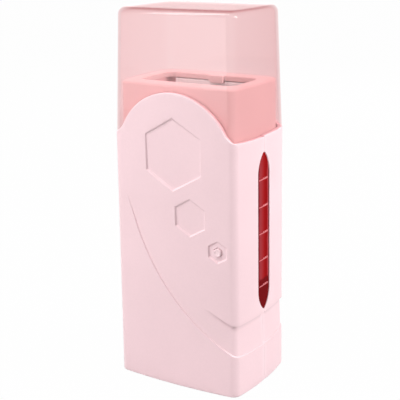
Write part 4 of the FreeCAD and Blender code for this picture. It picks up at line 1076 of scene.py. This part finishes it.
shell_pink = moulded("shell_pink", (248, 216, 221))
button_pink = moulded("button_pink", (249, 220, 224), 0.34)
collar_coral = moulded("collar_coral", (236, 203, 202), 0.38, 0.18, 0.2)
well_coral = moulded("well_coral", (228, 182, 184), 0.5)
print("moulded finishes", shell_pink.name, button_pink.name, collar_coral.name, well_coral.name)

# %% [markdown]
# ## Clear plastic of the cap
# The cap is dyed acrylic. A thin even wall hardly bends what is behind it, so its refraction is
# switched off and only its dye and its gloss are kept: a tint where light goes in and out, a dye in
# its depth that deepens the long way through an edge, and a hard clear surface with faint rub
# marks. A shadow ray takes a plain transparent shader instead, so that lamps light what is inside.

# %% Cap plastic
CAP_TINT = (0.99, 0.863, 0.868, 1)
CAP_SHADOW_TINT = (1.0, 0.975, 0.975, 1)
CAP_DYE = (0.63, 0.15, 0.17, 1)
DYE_DENSITY = 70.0
SCUFFS, FLOW = 70.0, 35.0
FLOW_HEIGHT = 0.0001

cap_clear_pink, tree, plastic = new_finish("cap_clear_pink")
where = own_place(tree)
scuff = bump(tree, noise(tree, where, SCUFFS, 5.0, Roughness=0.65), 0.15, FINE_HEIGHT)
flow = bump(tree, noise(tree, where, FLOW, 1.0), 0.2, FLOW_HEIGHT, Normal=scuff)
fill(tree, plastic, {"Roughness": 0.0, "Transmission Weight": 1.0, "IOR": 1.0, "Coat Weight": 0.35,
                     "Coat Roughness": 0.09, "Coat IOR": 1.8, "Coat Normal": flow,
                     "Base Color": CAP_TINT})
lamp_side = node(tree, "ShaderNodeBsdfTransparent", {"Color": CAP_SHADOW_TINT})
rays = node(tree, "ShaderNodeLightPath")
both = node(tree, "ShaderNodeMixShader", {0: rays.outputs["Is Shadow Ray"], 1: plastic.outputs[0],
                                          2: lamp_side.outputs[0]})
dye = node(tree, "ShaderNodeVolumeAbsorption", {"Color": CAP_DYE, "Density": DYE_DENSITY})
fill(tree, tree.nodes["Material Output"], {"Surface": both.outputs[0], "Volume": dye.outputs[0]})
print("cap plastic", len(tree.nodes), "nodes")

# %% [markdown]
# ## Red lens
# The lens is deep red and glossy. Across the pane, ramps paint its light: a paler band near the
# front edge as a painted reflection, a pale painted highlight line near the rear, and painted
# shade at both edges. Below the last mark it is painted almost black, a painted shade for the
# shaded floor of the well behind it. Ramps over the pane's own y and z, in metres, give both.

# %% Lens red
PANE_Y = (-0.0054, 0.007)
# Painted light across the pane: painted shade at both edges, a painted reflection as a paler band
# near the front, a painted highlight line near the rear
PANE_PAINTED_LIGHT = [(0.0, (100, 20, 28)), (0.1, (126, 34, 44)), (0.2, (166, 62, 68)),
              (0.42, (166, 44, 48)), (0.58, (158, 26, 28)), (0.8, (146, 18, 22)),
              (0.88, (184, 76, 82)), (0.95, (118, 22, 32))]
# Painted shade: below the last mark the pane turns almost black, for the shaded floor of the well
# behind it
LOW_SHADE_LEVEL = (0.0599, 0.0613)
LOW_SHADE_RED = linear(118, 24, 28)
RIPPLE_HEIGHT = 0.00008

lens_red, tree, shader = new_finish("lens_red")
where = own_place(tree)
axes = node(tree, "ShaderNodeSeparateXYZ", {0: where}).outputs
cloud = noise(tree, where, 180.0, 3.0)
across = spread(tree, calc(tree, "MULTIPLY_ADD", cloud, 0.0016, axes["Y"]), *PANE_Y, 0.0, 1.0)
pane_light = ramp(tree, across, [(position, linear(*colour)) for position, colour in PANE_PAINTED_LIGHT])
# Share of the painted shade, rising below the last mark
low_shade = spread(tree, calc(tree, "MULTIPLY_ADD", cloud, 0.002, axes["Z"]), *LOW_SHADE_LEVEL, 0.0, 1.0,
             interpolation_type="SMOOTHSTEP")
fill(tree, shader, {"Base Color": blend(tree, low_shade, LOW_SHADE_RED, pane_light),
                    "Roughness": spread(tree, cloud, 0.0, 1.0, 0.1, 0.22),
                    "Normal": bump(tree, cloud, 0.15, RIPPLE_HEIGHT), "Specular IOR Level": 0.0})
mark_pale = moulded("mark_pale", (226, 120, 126), 0.4, 0.2, 0.3, 0.12)
print("lens red", len(tree.nodes), "nodes")

# %% [markdown]
# ## Metals, board and the rest inside
# Rolled and drawn metal has fine lines along one way, so its noise is stretched. The heat plates
# carry a white release coating with a slight orange peel. The board is green lacquer over a grid of
# tracks, and ceramic, rubber and wire have their own grain. Each is one call, with its own numbers.

# %% Metals
DRAWN_LINES = 700.0
STAIN = 90.0


def drawn_metal(name, colour, roughness, stretch, metallic=1.0):
    """Metal or a coat with fine lines. The stretch squeezes the noise across them."""
    material, tree, shader = new_finish(name)
    where = own_place(tree)
    squeezed = node(tree, "ShaderNodeMapping", {"Vector": where, "Scale": stretch}).outputs[0]
    lines = noise(tree, squeezed, DRAWN_LINES, 3.0)
    base = linear(*colour)
    half = calc(tree, "MULTIPLY", lines, 0.5)
    tone = calc(tree, "MULTIPLY_ADD", noise(tree, where, STAIN, 4.0), 0.5, half)
    fill(tree, shader, {
        "Base Color": ramp(tree, tone, [(0.3, shade(base, -0.12)), (0.7, shade(base, 0.08))]),
        "Roughness": spread(tree, tone, 0.3, 0.7, roughness - 0.06, roughness + 0.1),
        "Normal": bump(tree, lines, 0.3, FINE_HEIGHT), "Metallic": metallic})
    return material


screw_steel = drawn_metal("screw_steel", (178, 180, 184), 0.3, (1, 6, 1))
spring_steel = drawn_metal("spring_steel", (160, 163, 168), 0.32, (1, 1, 8))
fuse_metal = drawn_metal("fuse_metal", (186, 182, 174), 0.28, (8, 1, 1))
pin_brass = drawn_metal("pin_brass", (206, 176, 110), 0.28, (1, 8, 1))
heat_plate = drawn_metal("heat_plate", (252, 251, 250), 0.42, (1, 1, 1), 0.0)
print("metals", screw_steel.name, spring_steel.name, fuse_metal.name, pin_brass.name)

# %% Board and plain parts
TRACKS = 160.0
board_green = moulded("board_green", (30, 98, 62), 0.3, 0.6, 0.5, 0.1)
tree = board_green.node_tree
shader = tree.nodes["Principled BSDF"]
lacquer = shader.inputs["Base Color"].links[0].from_socket
flat = node(tree, "ShaderNodeMapping", {"Vector": own_place(tree), "Rotation": (math.pi / 2, 0, 0)})
tracks = node(tree, "ShaderNodeTexBrick", {
    "Vector": flat.outputs[0], "Scale": TRACKS, "Color1": (0, 0, 0, 1),
    "Color2": (0.1, 0.1, 0.1, 1), "Mortar": (1, 1, 1, 1), "Mortar Size": 0.09,
    "Mortar Smooth": 0.2})
fill(tree, shader, {"Base Color": blend(tree, tracks.outputs["Fac"], lacquer, linear(52, 128, 84))})
plain = {name: moulded(name, *numbers) for name, *numbers in (
    ("heater_ceramic", (226, 222, 212), 0.7, 0.4, 0.3, 0.06),
    ("capacitor_yellow", (214, 172, 58), 0.35, 0.5),
    ("terminal_grey", (150, 153, 156), 0.5),
    ("switch_black", (38, 38, 40), 0.45, 0.3, 0.4, 0.15),
    ("inlet_black", (34, 34, 36), 0.5, 0.3, 0.4, 0.15),
    ("lead_sheath", (232, 232, 228), 0.4, 0.5),
    ("foot_rubber", (52, 50, 51), 0.75, 0.5, 0.25, 0.12))}
print("finishes in all", len(bpy.data.materials))

# %% [markdown]
# ## Repeated parts and the cap, as node trees
# Screws, feet, level marks and the sleeves round the screws all repeat, and the cap follows one
# rule all the way round. Geometry Nodes suit both. A tree draws one small mesh and Instance on
# Points sets it on every place, or it moves a flat grid's points by a formula. Each tree has named
# inputs for its sizes. It ends by making copies real and giving them their finish, because an
# export keeps only real meshes, and the result is stored as a plain mesh.

# %% A number inside a tree
class Amount:
    """A number that a tree works out. Sums and products of amounts become Math nodes."""

    def __init__(self, tree, socket):
        self.tree = tree
        self.socket = socket

    def math(self, operation, *others):
        terms = [other.socket if isinstance(other, Amount) else other for other in others]
        return Amount(self.tree, calc(self.tree, operation, self.socket, *terms))

    __add__ = partialmethod(math, "ADD")
    __sub__ = partialmethod(math, "SUBTRACT")
    __mul__ = partialmethod(math, "MULTIPLY")
    __truediv__ = partialmethod(math, "DIVIDE")
    at_least = partialmethod(math, "MAXIMUM")
    at_most = partialmethod(math, "MINIMUM")


# %% Tree helpers
WELD = 1e-6


def new_tree(name, **sizes):
    """A tree with a mesh of places, and a named input in millimetres for each size."""
    tree = bpy.data.node_groups.new(name, "GeometryNodeTree")
    add = tree.interface.new_socket
    add("Places", in_out="INPUT", socket_type="NodeSocketGeometry")
    for label, value in sizes.items():
        made = add(label.replace("_", " "), in_out="INPUT", socket_type="NodeSocketFloat")
        made.default_value = value
    add("Mesh", in_out="OUTPUT", socket_type="NodeSocketGeometry")
    given = tree.nodes.new("NodeGroupInput").outputs
    amounts = {label: Amount(tree, given[label.replace("_", " ")]) * MM for label in sizes}
    return tree, given["Places"], amounts


def spot(tree, x, y, z):
    parts = [part.socket if isinstance(part, Amount) else part for part in (x, y, z)]
    return node(tree, "ShaderNodeCombineXYZ", dict(enumerate(parts))).outputs[0]


def up(tree, height):
    return spot(tree, 0.0, 0.0, height)


def axes_of(tree, vector):
    parts = node(tree, "ShaderNodeSeparateXYZ", {0: vector}).outputs
    return [Amount(tree, part) for part in parts]


def each_point(tree):
    """The x, y and z of every point of the mesh that a node works on."""
    return axes_of(tree, node(tree, "GeometryNodeInputPosition").outputs[0])


def cylinder(tree, radius, depth, vertices, **segments):
    inputs = {label.replace("_", " "): count for label, count in segments.items()}
    inputs.update({"Vertices": vertices, "Radius": radius.socket, "Depth": depth.socket})
    return node(tree, "GeometryNodeMeshCylinder", inputs).outputs["Mesh"]


def block(tree, x, y, z, **more):
    return node(tree, "GeometryNodeMeshCube", {"Size": spot(tree, x, y, z), **more}).outputs["Mesh"]


def placed(tree, geometry, shift=(0, 0, 0), turn=(0, 0, 0), scale=(1, 1, 1)):
    return node(tree, "GeometryNodeTransform", {"Geometry": geometry, "Translation": shift,
                                                "Rotation": turn, "Scale": scale}).outputs[0]


def reshaped(tree, geometry, x, y, z):
    """The same mesh with its points moved to x, y and z."""
    inputs = {"Geometry": geometry, "Position": spot(tree, x, y, z)}
    return node(tree, "GeometryNodeSetPosition", inputs).outputs[0]


def cut_out(tree, body, tools):
    made = node(tree, "GeometryNodeMeshBoolean", {"Mesh 1": body}, operation="DIFFERENCE",
                solver="EXACT")
    for tool in tools:
        tree.links.new(tool, made.inputs["Mesh 2"])
    return made.outputs["Mesh"]


def joined(tree, *parts):
    made = tree.nodes.new("GeometryNodeJoinGeometry")
    for part in parts:
        tree.links.new(part, made.inputs[0])
    return made.outputs[0]


def on_places(tree, places, mesh, **more):
    inputs = {"Points": places, "Instance": mesh, **more}
    return node(tree, "GeometryNodeInstanceOnPoints", inputs).outputs[0]


def made_real(tree, geometry):
    return node(tree, "GeometryNodeRealizeInstances", {0: geometry}).outputs[0]


def end_tree(tree, geometry, material):
    """Copies made real, points merged, shading set, and the finish given."""
    end = made_real(tree, geometry)
    for kind, inputs in (("MergeByDistance", {"Distance": WELD}), ("SetShadeSmooth", {}),
                         ("SetMaterial", {"Material": material})):
        end = node(tree, "GeometryNode" + kind, {0: end, **inputs}).outputs[0]
    tree.links.new(end, tree.nodes.new("NodeGroupOutput").inputs[0])
    return tree


def run_tree(name, tree, places, sharp_degrees=35, **sizes):
    """Runs a tree on places in millimetres, and keeps the result as a plain mesh."""
    carrier = into_scene(name + "_places", flat_mesh(name + "_places", places))
    modifier = carrier.modifiers.new("nodes", "NODES")
    modifier.node_group = tree
    for item in tree.interface.items_tree:
        label = item.name.replace(" ", "_")
        if item.in_out == "INPUT" and label in sizes:
            modifier[item.identifier] = sizes[label]
    evaluated = carrier.evaluated_get(bpy.context.evaluated_depsgraph_get())
    mesh = bpy.data.meshes.new_from_object(evaluated)
    mesh.name = name
    carrier.modifiers.remove(modifier)
    bpy.data.objects.remove(carrier)
    mesh.set_sharp_from_angle(angle=math.radians(sharp_degrees))
    print(name, "on", len(places), "places has", len(mesh.polygons), "faces")
    return into_scene(name, mesh)

# %% [markdown]
# ## Screws
# Four pan-head screws hold the halves from behind, and small ones hold the board and the heater's
# strip. All are one turned shape at two sizes: a shank, a domed head, and a cross recess for the
# driver. The tree domes a cylinder by a rule of its height, cuts two bars out of it, lays the screw
# along y, and turns each copy a little, since no two screws stop at the same angle.

# %% Screw tree
HEAD_DOME = 0.42
CROSS_WIDTH = 0.26
MOST_TWIST = 1.5
TWIST_SEED = 4
SMALL_HEAD = 1.3
SMALL_SCREW = {"Shank_Radius": 1.0, "Shank_Length": 4.5, "Head_Radius": 2.0,
               "Head_Height": SMALL_HEAD}
LAID_ALONG_Y = (-math.pi / 2, 0, 0)


def screw_tree():
    tree, places, size = new_tree("screw", Shank_Radius=1.4, Shank_Length=20.0, Head_Radius=2.7,
                                  Head_Height=1.8)
    length, height, radius = size["Shank_Length"], size["Head_Height"], size["Head_Radius"]
    shank = placed(tree, cylinder(tree, size["Shank_Radius"], length, 24), up(tree, length * -0.5))
    head = cylinder(tree, radius, height, 40, Side_Segments=6, Fill_Segments=3)
    x, y, z = each_point(tree)
    rise = z / height + 0.5
    narrow = (rise * rise * -HEAD_DOME + 1.0).math("SQRT")
    head = placed(tree, reshaped(tree, head, x * narrow, y * narrow, z), up(tree, height * 0.5))
    bars = [placed(tree, block(tree, radius, radius * CROSS_WIDTH, height), up(tree, height),
                   (0, 0, turn)) for turn in (0.0, math.pi / 2)]
    screw = placed(tree, joined(tree, shank, cut_out(tree, head, bars)), turn=LAID_ALONG_Y)
    twist = node(tree, "FunctionNodeRandomValue", {"Max": MOST_TWIST, "Seed": TWIST_SEED},
                 data_type="FLOAT")
    chance = [o for o in twist.outputs if o.enabled][0]
    angles = spot(tree, 0.0, Amount(tree, chance), 0.0)
    turned = node(tree, "FunctionNodeEulerToRotation", {0: angles})
    copies = on_places(tree, places, screw, Rotation=turned.outputs[0])
    return end_tree(tree, copies, screw_steel)


def screw_places(node_name, head_height=SMALL_HEAD):
    """Where a node's screws sit, from the heads of the frame's own loose screws."""
    spots = np.array([v.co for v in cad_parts[node_name].data.vertices]) / MM
    seat = spots[:, 1].max() - head_height
    heads = spots[spots[:, 1] > seat + head_height / 2]
    places = []
    for point in heads:
        near = heads[np.hypot(heads[:, 0] - point[0], heads[:, 2] - point[2]) < 6]
        x, _, z = (near.min(0) + near.max(0)) / 2
        if all(np.hypot(x - place[0], z - place[2]) > 3 for place in places):
            places.append((x, seat, z))
    return places


screws = screw_tree()
shell_places = [(x, SCREW_SEAT_Y, z) for x in (-SCREW_X, SCREW_X) for z in SCREW_ROWS]
long_screws = run_tree("pan_screws_shell", screws, shell_places)
board_fixings = run_tree("pan_screws_board", screws, screw_places("board_screws"), **SMALL_SCREW)
clamp_fixings = run_tree("pan_screws_clamp", screws, screw_places("clamp_screws"), **SMALL_SCREW)

# %% [markdown]
# ## Screw sleeves
# Each long screw sits deep in a round sleeve that runs in from the back wall. The wide bore takes
# the head and the driver, and the narrow one the shank. The tree cuts both bores out of a rod.

# %% Sleeve tree
SLEEVE_OUTER = 3.9
SLEEVE_END_Y = 25.9


def sleeve_tree():
    tree, places, size = new_tree("sleeve", Outer_Radius=SLEEVE_OUTER, Shank_Bore=1.5,
                                  Bore_Radius=SLEEVE_BORE + 0.04, Seat_Height=SCREW_SEAT_Y,
                                  Length=SLEEVE_END_Y)
    length, seat = size["Length"], size["Seat_Height"]
    outer, *bores = [
        placed(tree, cylinder(tree, size[radius], high - low, 48), up(tree, (high + low) * 0.5))
        for radius, low, high in (("Outer_Radius", length * 0, length),
                                  ("Bore_Radius", seat, length + MM),
                                  ("Shank_Bore", length * 0 - MM, length))]
    sleeve = placed(tree, cut_out(tree, outer, bores), turn=LAID_ALONG_Y)
    return end_tree(tree, on_places(tree, places, sleeve), shell_pink)


sleeves = run_tree("screw_sleeves", sleeve_tree(), [(x, 0, z) for x, _, z in shell_places])

# %% [markdown]
# ## Feet
# Four rubber pads are pressed into pockets in the underside. A pad is a short disc with a rounded
# lower edge, and a ring groove in its sole that helps it to grip. The tree starts from a cylinder
# with rings in its end faces, and a rule of radius moves the sole's points.

# %% Foot tree
FOOT_X = 24.5
FOOT_Y = 16.5
ROUNDED_SHARE = 0.2
GROOVE_AT = 0.6


def foot_tree():
    tree, places, size = new_tree("foot", Radius=4.0, Thickness=1.5, Edge=0.25, Groove=0.18)
    radius, thick = size["Radius"], size["Thickness"]
    pad = cylinder(tree, radius, thick, 48, Side_Segments=8, Fill_Segments=10)
    pad = placed(tree, pad, up(tree, thick * 0.5))
    x, y, z = each_point(tree)
    out = (x * x + y * y).math("SQRT") / radius
    near_sole = (thick * ROUNDED_SHARE - z).at_least(0.0) / (thick * ROUNDED_SHARE)
    narrow = near_sole * near_sole * size["Edge"] / radius * -1.0 + 1.0
    in_ring = ((out - GROOVE_AT).math("ABSOLUTE") * -8.0 + 1.0).at_least(0.0).at_most(1.0)
    lift = in_ring * near_sole * size["Groove"]
    pad = reshaped(tree, pad, x * narrow, y * narrow, z + lift)
    return end_tree(tree, on_places(tree, places, pad), plain["foot_rubber"])


foot_places = [(x, y, 0) for x in (-FOOT_X, FOOT_X) for y in (-FOOT_Y, FOOT_Y)]
feet = run_tree("foot_pads", foot_tree(), foot_places)

# %% [markdown]
# ## Level marks
# Five raised marks on each lens show how much wax is left. A mark is a thin rib with three short
# teeth on its rear half. The tree sets flat ribs on the marks' heights, then bends them on the
# lens: a point's own x says how proud it stands, and the wall's arc gives the rest. The left
# lens's marks are the same ones mirrored.

# %% Mark tree
MARK_TOP = 113.4
MARK_PITCH = 14.4
MARK_FRONT = -4.9
MARK_REAR = 4.3
TEETH = (0.5, 0.7, 0.9)
TOOTH_LENGTH = 0.13


def mark_tree():
    tree, places, size = new_tree("level_mark", Rib=0.42, Tooth=0.62, Proud=0.25, Root=0.1,
                                  Front=MARK_FRONT, Rear=MARK_REAR, Side_Radius=SIDE_RADIUS,
                                  Side_Centre=SIDE_CENTRE[0], Lens_Depth=LENS_SUNK)
    front, rear, proud, root = size["Front"], size["Rear"], size["Proud"], size["Root"]
    tooth, long, thick = size["Tooth"], rear - front, proud + root
    middle_x = (proud - root) * 0.5
    rib = block(tree, thick, long, size["Rib"], **{"Vertices Y": 13})
    parts = [placed(tree, rib, spot(tree, middle_x, (front + rear) * 0.5, 0.0))]
    parts += [placed(tree, block(tree, thick, long * TOOTH_LENGTH, tooth),
                     spot(tree, middle_x, front + long * share, tooth * 0.6)) for share in TEETH]
    ribs = made_real(tree, on_places(tree, places, joined(tree, *parts)))
    x, y, z = each_point(tree)
    reach = size["Side_Radius"] - z * DRAFT - size["Lens_Depth"] + x
    on_wall = size["Side_Centre"] + (reach * reach - y * y).math("SQRT")
    right = reshaped(tree, ribs, on_wall, y, z)
    return end_tree(tree, joined(tree, right, placed(tree, right, scale=(-1, 1, 1))), mark_pale)


marks = run_tree("level_marks", mark_tree(), [(0, 0, MARK_TOP - MARK_PITCH * i) for i in range(5)])

# %% [markdown]
# ## Cap
# The cap is a thin cup of clear plastic. It tapers a little, its top edge is rolled over with a
# large radius, and its lower edge follows the joint line at an even gap. It follows one rule all
# the way round, so it is the main piece that nodes make. Two outlines are drawn: the lower edge,
# and the start of the rolled edge. The tree lays a flat grid, one row for each step from the
# roof's middle inside, down, round the lip and up to the roof's middle outside. A point's column
# picks its place on both outlines, and its row says how far between them it is.

# %% Outlines of the cap
TOTAL_HEIGHT = 200.0
CAP_WALL = 1.6
CAP_TAPER = 1.9
CAP_EDGE = 4.0
CAP_LOW = SIDE_LEVEL - 1.0
CAP_START = TOTAL_HEIGHT - CAP_EDGE


def cap_hoop(z):
    low = DRAFT * CAP_LOW
    high = CAP_TAPER + DRAFT * TOTAL_HEIGHT
    set_in = low + (high - low) * (z - CAP_LOW) / (TOTAL_HEIGHT - CAP_LOW)
    return plan_hoop(set_in, CORNER_RADIUS, z)


cap_low = cap_hoop(CAP_LOW)
cap_high = cap_hoop(CAP_START)
levels = np.where(cap_low[:, 1] > -CAP_GAP, SIDE_LEVEL + REAR_STEP, SIDE_LEVEL)
cap_low[:, 2] = [joint_height(x, level, CAP_GAP) for x, level in zip(cap_low[:, 0], levels)]
cap_columns = len(cap_low)
print("cap outline of %d points, lower edge from %.1f to %.1f mm" % (
    cap_columns, cap_low[:, 2].min(), cap_low[:, 2].max()))


# %% Cap tree
CAP_SIDE_ROWS = 13
CAP_ROLL_ROWS = 10
CAP_ROOF_ROWS = 4
CAP_ROLL_END = CAP_SIDE_ROWS + CAP_ROLL_ROWS


def cap_tree():
    tree, outlines, size = new_tree("cap", Wall=CAP_WALL, Edge_Radius=CAP_EDGE, Lip=0.12,
                                    Low=CAP_LOW, Start=CAP_START)
    start, lip = size["Start"], size["Lip"]
    rows = 2 * (CAP_ROLL_END + CAP_ROOF_ROWS + 1)
    grid = node(tree, "GeometryNodeMeshGrid", {"Vertices X": rows, "Vertices Y": cap_columns + 1})
    index = Amount(tree, node(tree, "GeometryNodeInputIndex").outputs[0])
    row = ((index + 0.5) / (cap_columns + 1)).math("FLOOR")
    column = (index - row * (cap_columns + 1)).math("MODULO", cap_columns)
    from_lip = row - (rows - 1) / 2
    inside = from_lip.math("LESS_THAN", 0.0)
    outward = inside * -2.0 + 1.0
    step = from_lip.math("ABSOLUTE") - 0.5

    def outline_point(shift, first):
        where = (column + shift + cap_columns).math("MODULO", cap_columns) + first + 0.5
        place = node(tree, "GeometryNodeInputPosition").outputs[0]
        inputs = {"Geometry": outlines, "Value": place, "Index": where.socket}
        found = node(tree, "GeometryNodeSampleIndex", inputs, data_type="FLOAT_VECTOR")
        return axes_of(tree, found.outputs[0])

    low_x, low_y, edge_z = outline_point(0, 0)
    high_x, high_y, _ = outline_point(0, cap_columns)
    next_x, next_y, _ = outline_point(1, 0)
    last_x, last_y, _ = outline_point(-1, 0)
    along_x, along_y = next_x - last_x, next_y - last_y
    long = (along_x * along_x + along_y * along_y).math("SQRT")
    rise = (step / CAP_SIDE_ROWS).at_most(1.0)
    z = edge_z + (start - edge_z) * (rise * rise * rise)
    share = (z - size["Low"]) / (start - size["Low"])
    turn = ((step - CAP_SIDE_ROWS) / CAP_ROLL_ROWS).at_least(0.0).at_most(1.0) * (math.pi / 2)
    edge = size["Edge_Radius"] - inside * size["Wall"]
    curl = (lip - (z - edge_z)).at_least(0.0)
    rounding = (lip - (lip * lip - curl * curl).math("SQRT")) * outward
    set_in = inside * size["Wall"] + edge * (turn.math("COSINE") * -1.0 + 1.0) + rounding
    roof = ((step - CAP_ROLL_END) / CAP_ROOF_ROWS).at_least(0.0) * -1.0 + 1.0
    x = (low_x + (high_x - low_x) * share - along_y / long * set_in) * roof
    y = (low_y + (high_y - low_y) * share + along_x / long * set_in) * roof
    shell = reshaped(tree, grid.outputs["Mesh"], x, y, z + edge * turn.math("SINE"))
    return end_tree(tree, shell, cap_clear_pink)


cap = run_tree("cap_clear", cap_tree(), np.vstack((cap_low, cap_high)))

# %% [markdown]
# ## The right way out
# A closed piece must have all its faces pointing outwards, or a slicer takes its inside for its
# outside. The pieces made above are closed, so their faces can be turned by what they enclose.

# %% Turn every piece the right way out
dressed = [housing_front, housing_rear, collar, cap, lens_right, lens_left, key, long_screws,
           board_fixings, clamp_fixings, sleeves, feet, marks]
for piece in dressed:
    data = bmesh.new()
    data.from_mesh(piece.data)
    bmesh.ops.recalc_face_normals(data, faces=data.faces)
    open_edges = sum(len(e.link_faces) != 2 for e in data.edges)
    enclosed = data.calc_volume(signed=True) / MM ** 3
    print(piece.name, "encloses %.1f mm3," % enclosed, open_edges, "open edges")
    data.to_mesh(piece.data)
    data.free()

# %% [markdown]
# ## Pieces to bodies
# Each piece says which body it moves with and which solid of the frame it stands for. The solids
# inside keep their own shape and only get a finish.

# %% Dress the bodies
def wear(piece, material, body, slot, *replaced):
    piece.data.materials.clear()
    piece.data.materials.append(material)
    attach(piece, body)
    if replaced:
        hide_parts(*replaced)


wear(housing_front, shell_pink, "base", "shell_pink", "front_shell")
wear(housing_rear, shell_pink, "base", "shell_pink", "rear_shell")
wear(sleeves, shell_pink, "base", "shell_pink")
wear(collar, collar_coral, "base", "collar_coral", "collar")
wear(cap, cap_clear_pink, "lid", "cap_clear_pink", "lid")
wear(lens_right, lens_red, "base", "lens_red", "window_lens_right")
wear(lens_left, lens_red, "base", "lens_red", "window_lens_left")
wear(marks, mark_pale, "base", "lens_red")
wear(key, button_pink, "button", "button_pink", "power_button")
wear(long_screws, screw_steel, "base", "screw_steel", "shell_screws")
wear(board_fixings, screw_steel, "base", "screw_steel", "board_screws")
wear(clamp_fixings, screw_steel, "base", "screw_steel", "clamp_screws")
wear(feet, plain["foot_rubber"], "base", "foot_rubber", "feet")

# %% Finish the solids inside
INSIDE = {
    "cartridge_well": well_coral, "heat_plate_front": heat_plate, "heat_plate_rear": heat_plate,
    "ptc_heater": plain["heater_ceramic"], "heater_clamp": spring_steel,
    "thermostat": plain["switch_black"], "thermal_fuse": fuse_metal, "control_board": board_green,
    "film_capacitor": plain["capacitor_yellow"], "terminal_block": plain["terminal_grey"],
    "tact_switch": plain["switch_black"], "switch_plunger": plain["switch_black"],
    "inlet_socket": plain["inlet_black"], "inlet_pins": pin_brass,
    "supply_leads": plain["lead_sheath"], "heater_leads": plain["lead_sheath"],
}
for name, finish in INSIDE.items():
    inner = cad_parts[name].data
    inner.materials.clear()
    inner.materials.append(finish)
print("finished", len(INSIDE), "solids inside")

# %% [markdown]
# ## Floor, light and camera
# The floor and the sky look white to the camera, in reflections and through clear plastic, and the
# floor keeps a little of its own shading, so that the object's shadow stays. Large soft lamps
# stand round the object. A lamp's strength here is a share: a pale wall that faces a lamp of
# strength one, with no other light, renders in its own colour. Lamps are hidden from rays that
# cross clear plastic, or what stands under the cap would be lit twice, and the lamp behind is
# hidden from gloss too, since it would bleach the far corner of the roof.

# %% Floor
FLOOR_GLOW = 0.985
FLOOR_PAINT = 0.55
FLOOR_REACH = 3


def seen_directly(tree):
    """One where the camera looks, also by way of gloss or clear plastic, and nothing after a matt
    bounce."""
    rays = tree.nodes.new("ShaderNodeLightPath").outputs
    through = calc(tree, "MAXIMUM", rays["Is Glossy Ray"], rays["Is Transmission Ray"])
    seen = calc(tree, "MAXIMUM", rays["Is Camera Ray"], through)
    return calc(tree, "MULTIPLY", seen, calc(tree, "LESS_THAN", rays["Diffuse Depth"], 0.5))


floor_mesh = bpy.data.meshes.new("floor")
floor_mesh.from_pydata([(x * FLOOR_REACH, y * FLOOR_REACH, 0) for x, y in (
    (-1, -1), (1, -1), (1, 1), (-1, 1))], [], [(0, 1, 2, 3)])
floor = into_scene("floor", floor_mesh)
floor_white, tree, paint = new_finish("floor_white")
fill(tree, paint, {"Base Color": (FLOOR_PAINT, FLOOR_PAINT, FLOOR_PAINT, 1), "Roughness": 0.8})
glow = node(tree, "ShaderNodeEmission", {"Strength": 1.0})
glow_share = calc(tree, "MULTIPLY", seen_directly(tree), FLOOR_GLOW)
mixed = node(tree, "ShaderNodeMixShader", {0: glow_share, 1: paint.outputs[0], 2: glow.outputs[0]})
fill(tree, tree.nodes["Material Output"], {"Surface": mixed.outputs[0]})
floor_mesh.materials.append(floor_white)

# %% Sky and lamps
SKY_LIGHT = 0.17
LAMP_AIM = Vector((0.0, 0.0, 0.1))
LAMP_DISTANCE = 1.1
LAMPS = {
    "key_upper_left": ((-0.45, -0.5, 0.74), (0.25, 0.7), 0.38),
    "left": ((-0.55, -0.75, 0.1), (0.95, 0.6), 0.31),
    "overhead": ((0.0, -0.5, 0.87), (0.3, 0.3), 0.38),
    "right": ((0.9, 0.2, 0.45), (0.25, 0.25), 0.68),
    "rear_right": ((0.75, 0.4, 0.3), (0.4, 0.5), 0.06),
    "rear_left": ((-0.51, 0.82, 0.27), (0.5, 0.5), 0.09),
    "behind": ((0.0, 1.0, 0.3), (0.4, 0.4), 0.3),
}
world = bpy.data.worlds.new("studio")
bpy.context.scene.world = world
world.use_nodes = True
tree = world.node_tree
sky = spread(tree, seen_directly(tree), 0.0, 1.0, SKY_LIGHT, 1.0)
fill(tree, tree.nodes["Background"], {"Color": (1, 1, 1, 1), "Strength": sky})
for name, (way, size, share) in LAMPS.items():
    light = bpy.data.lights.new(name, "AREA")
    light.shape = "RECTANGLE"
    light.size, light.size_y = size
    light.energy = share * math.pi ** 2 * LAMP_DISTANCE ** 2
    lamp = into_scene(name, light)
    lamp.visible_transmission = False
    lamp.visible_glossy = name != "behind"
    lamp.location = LAMP_AIM + Vector(way).normalized() * LAMP_DISTANCE
    lamp.rotation_euler = (LAMP_AIM - lamp.location).to_track_quat("-Z", "Y").to_euler()
    print(name, "%.1f W" % light.energy)


# %% Camera
CAMERA_RIGHT = (0.85206374, 0.52325533, -0.01382902)
CAMERA_UP = (-0.13132808, 0.23927861, 0.96202842)
CAMERA_BACK = (0.50669549, -0.8178934, 0.27259874)
CAMERA_PLACE = (0.2689, -0.43487, 0.24184)
CAMERA_LENS = 89.136
CAMERA_SENSOR = 36

camera_data = bpy.data.cameras.new("camera")
camera_data.sensor_width = CAMERA_SENSOR
camera_data.sensor_height = CAMERA_SENSOR
camera_data.sensor_fit = "HORIZONTAL"
camera_data.lens = CAMERA_LENS
camera = into_scene("camera", camera_data)
turned = Matrix((CAMERA_RIGHT, CAMERA_UP, CAMERA_BACK)).transposed().to_4x4()
turned.translation = CAMERA_PLACE
camera.matrix_world = turned
bpy.context.scene.camera = camera
bpy.context.scene.view_settings.view_transform = "Standard"
print("camera at", CAMERA_PLACE)
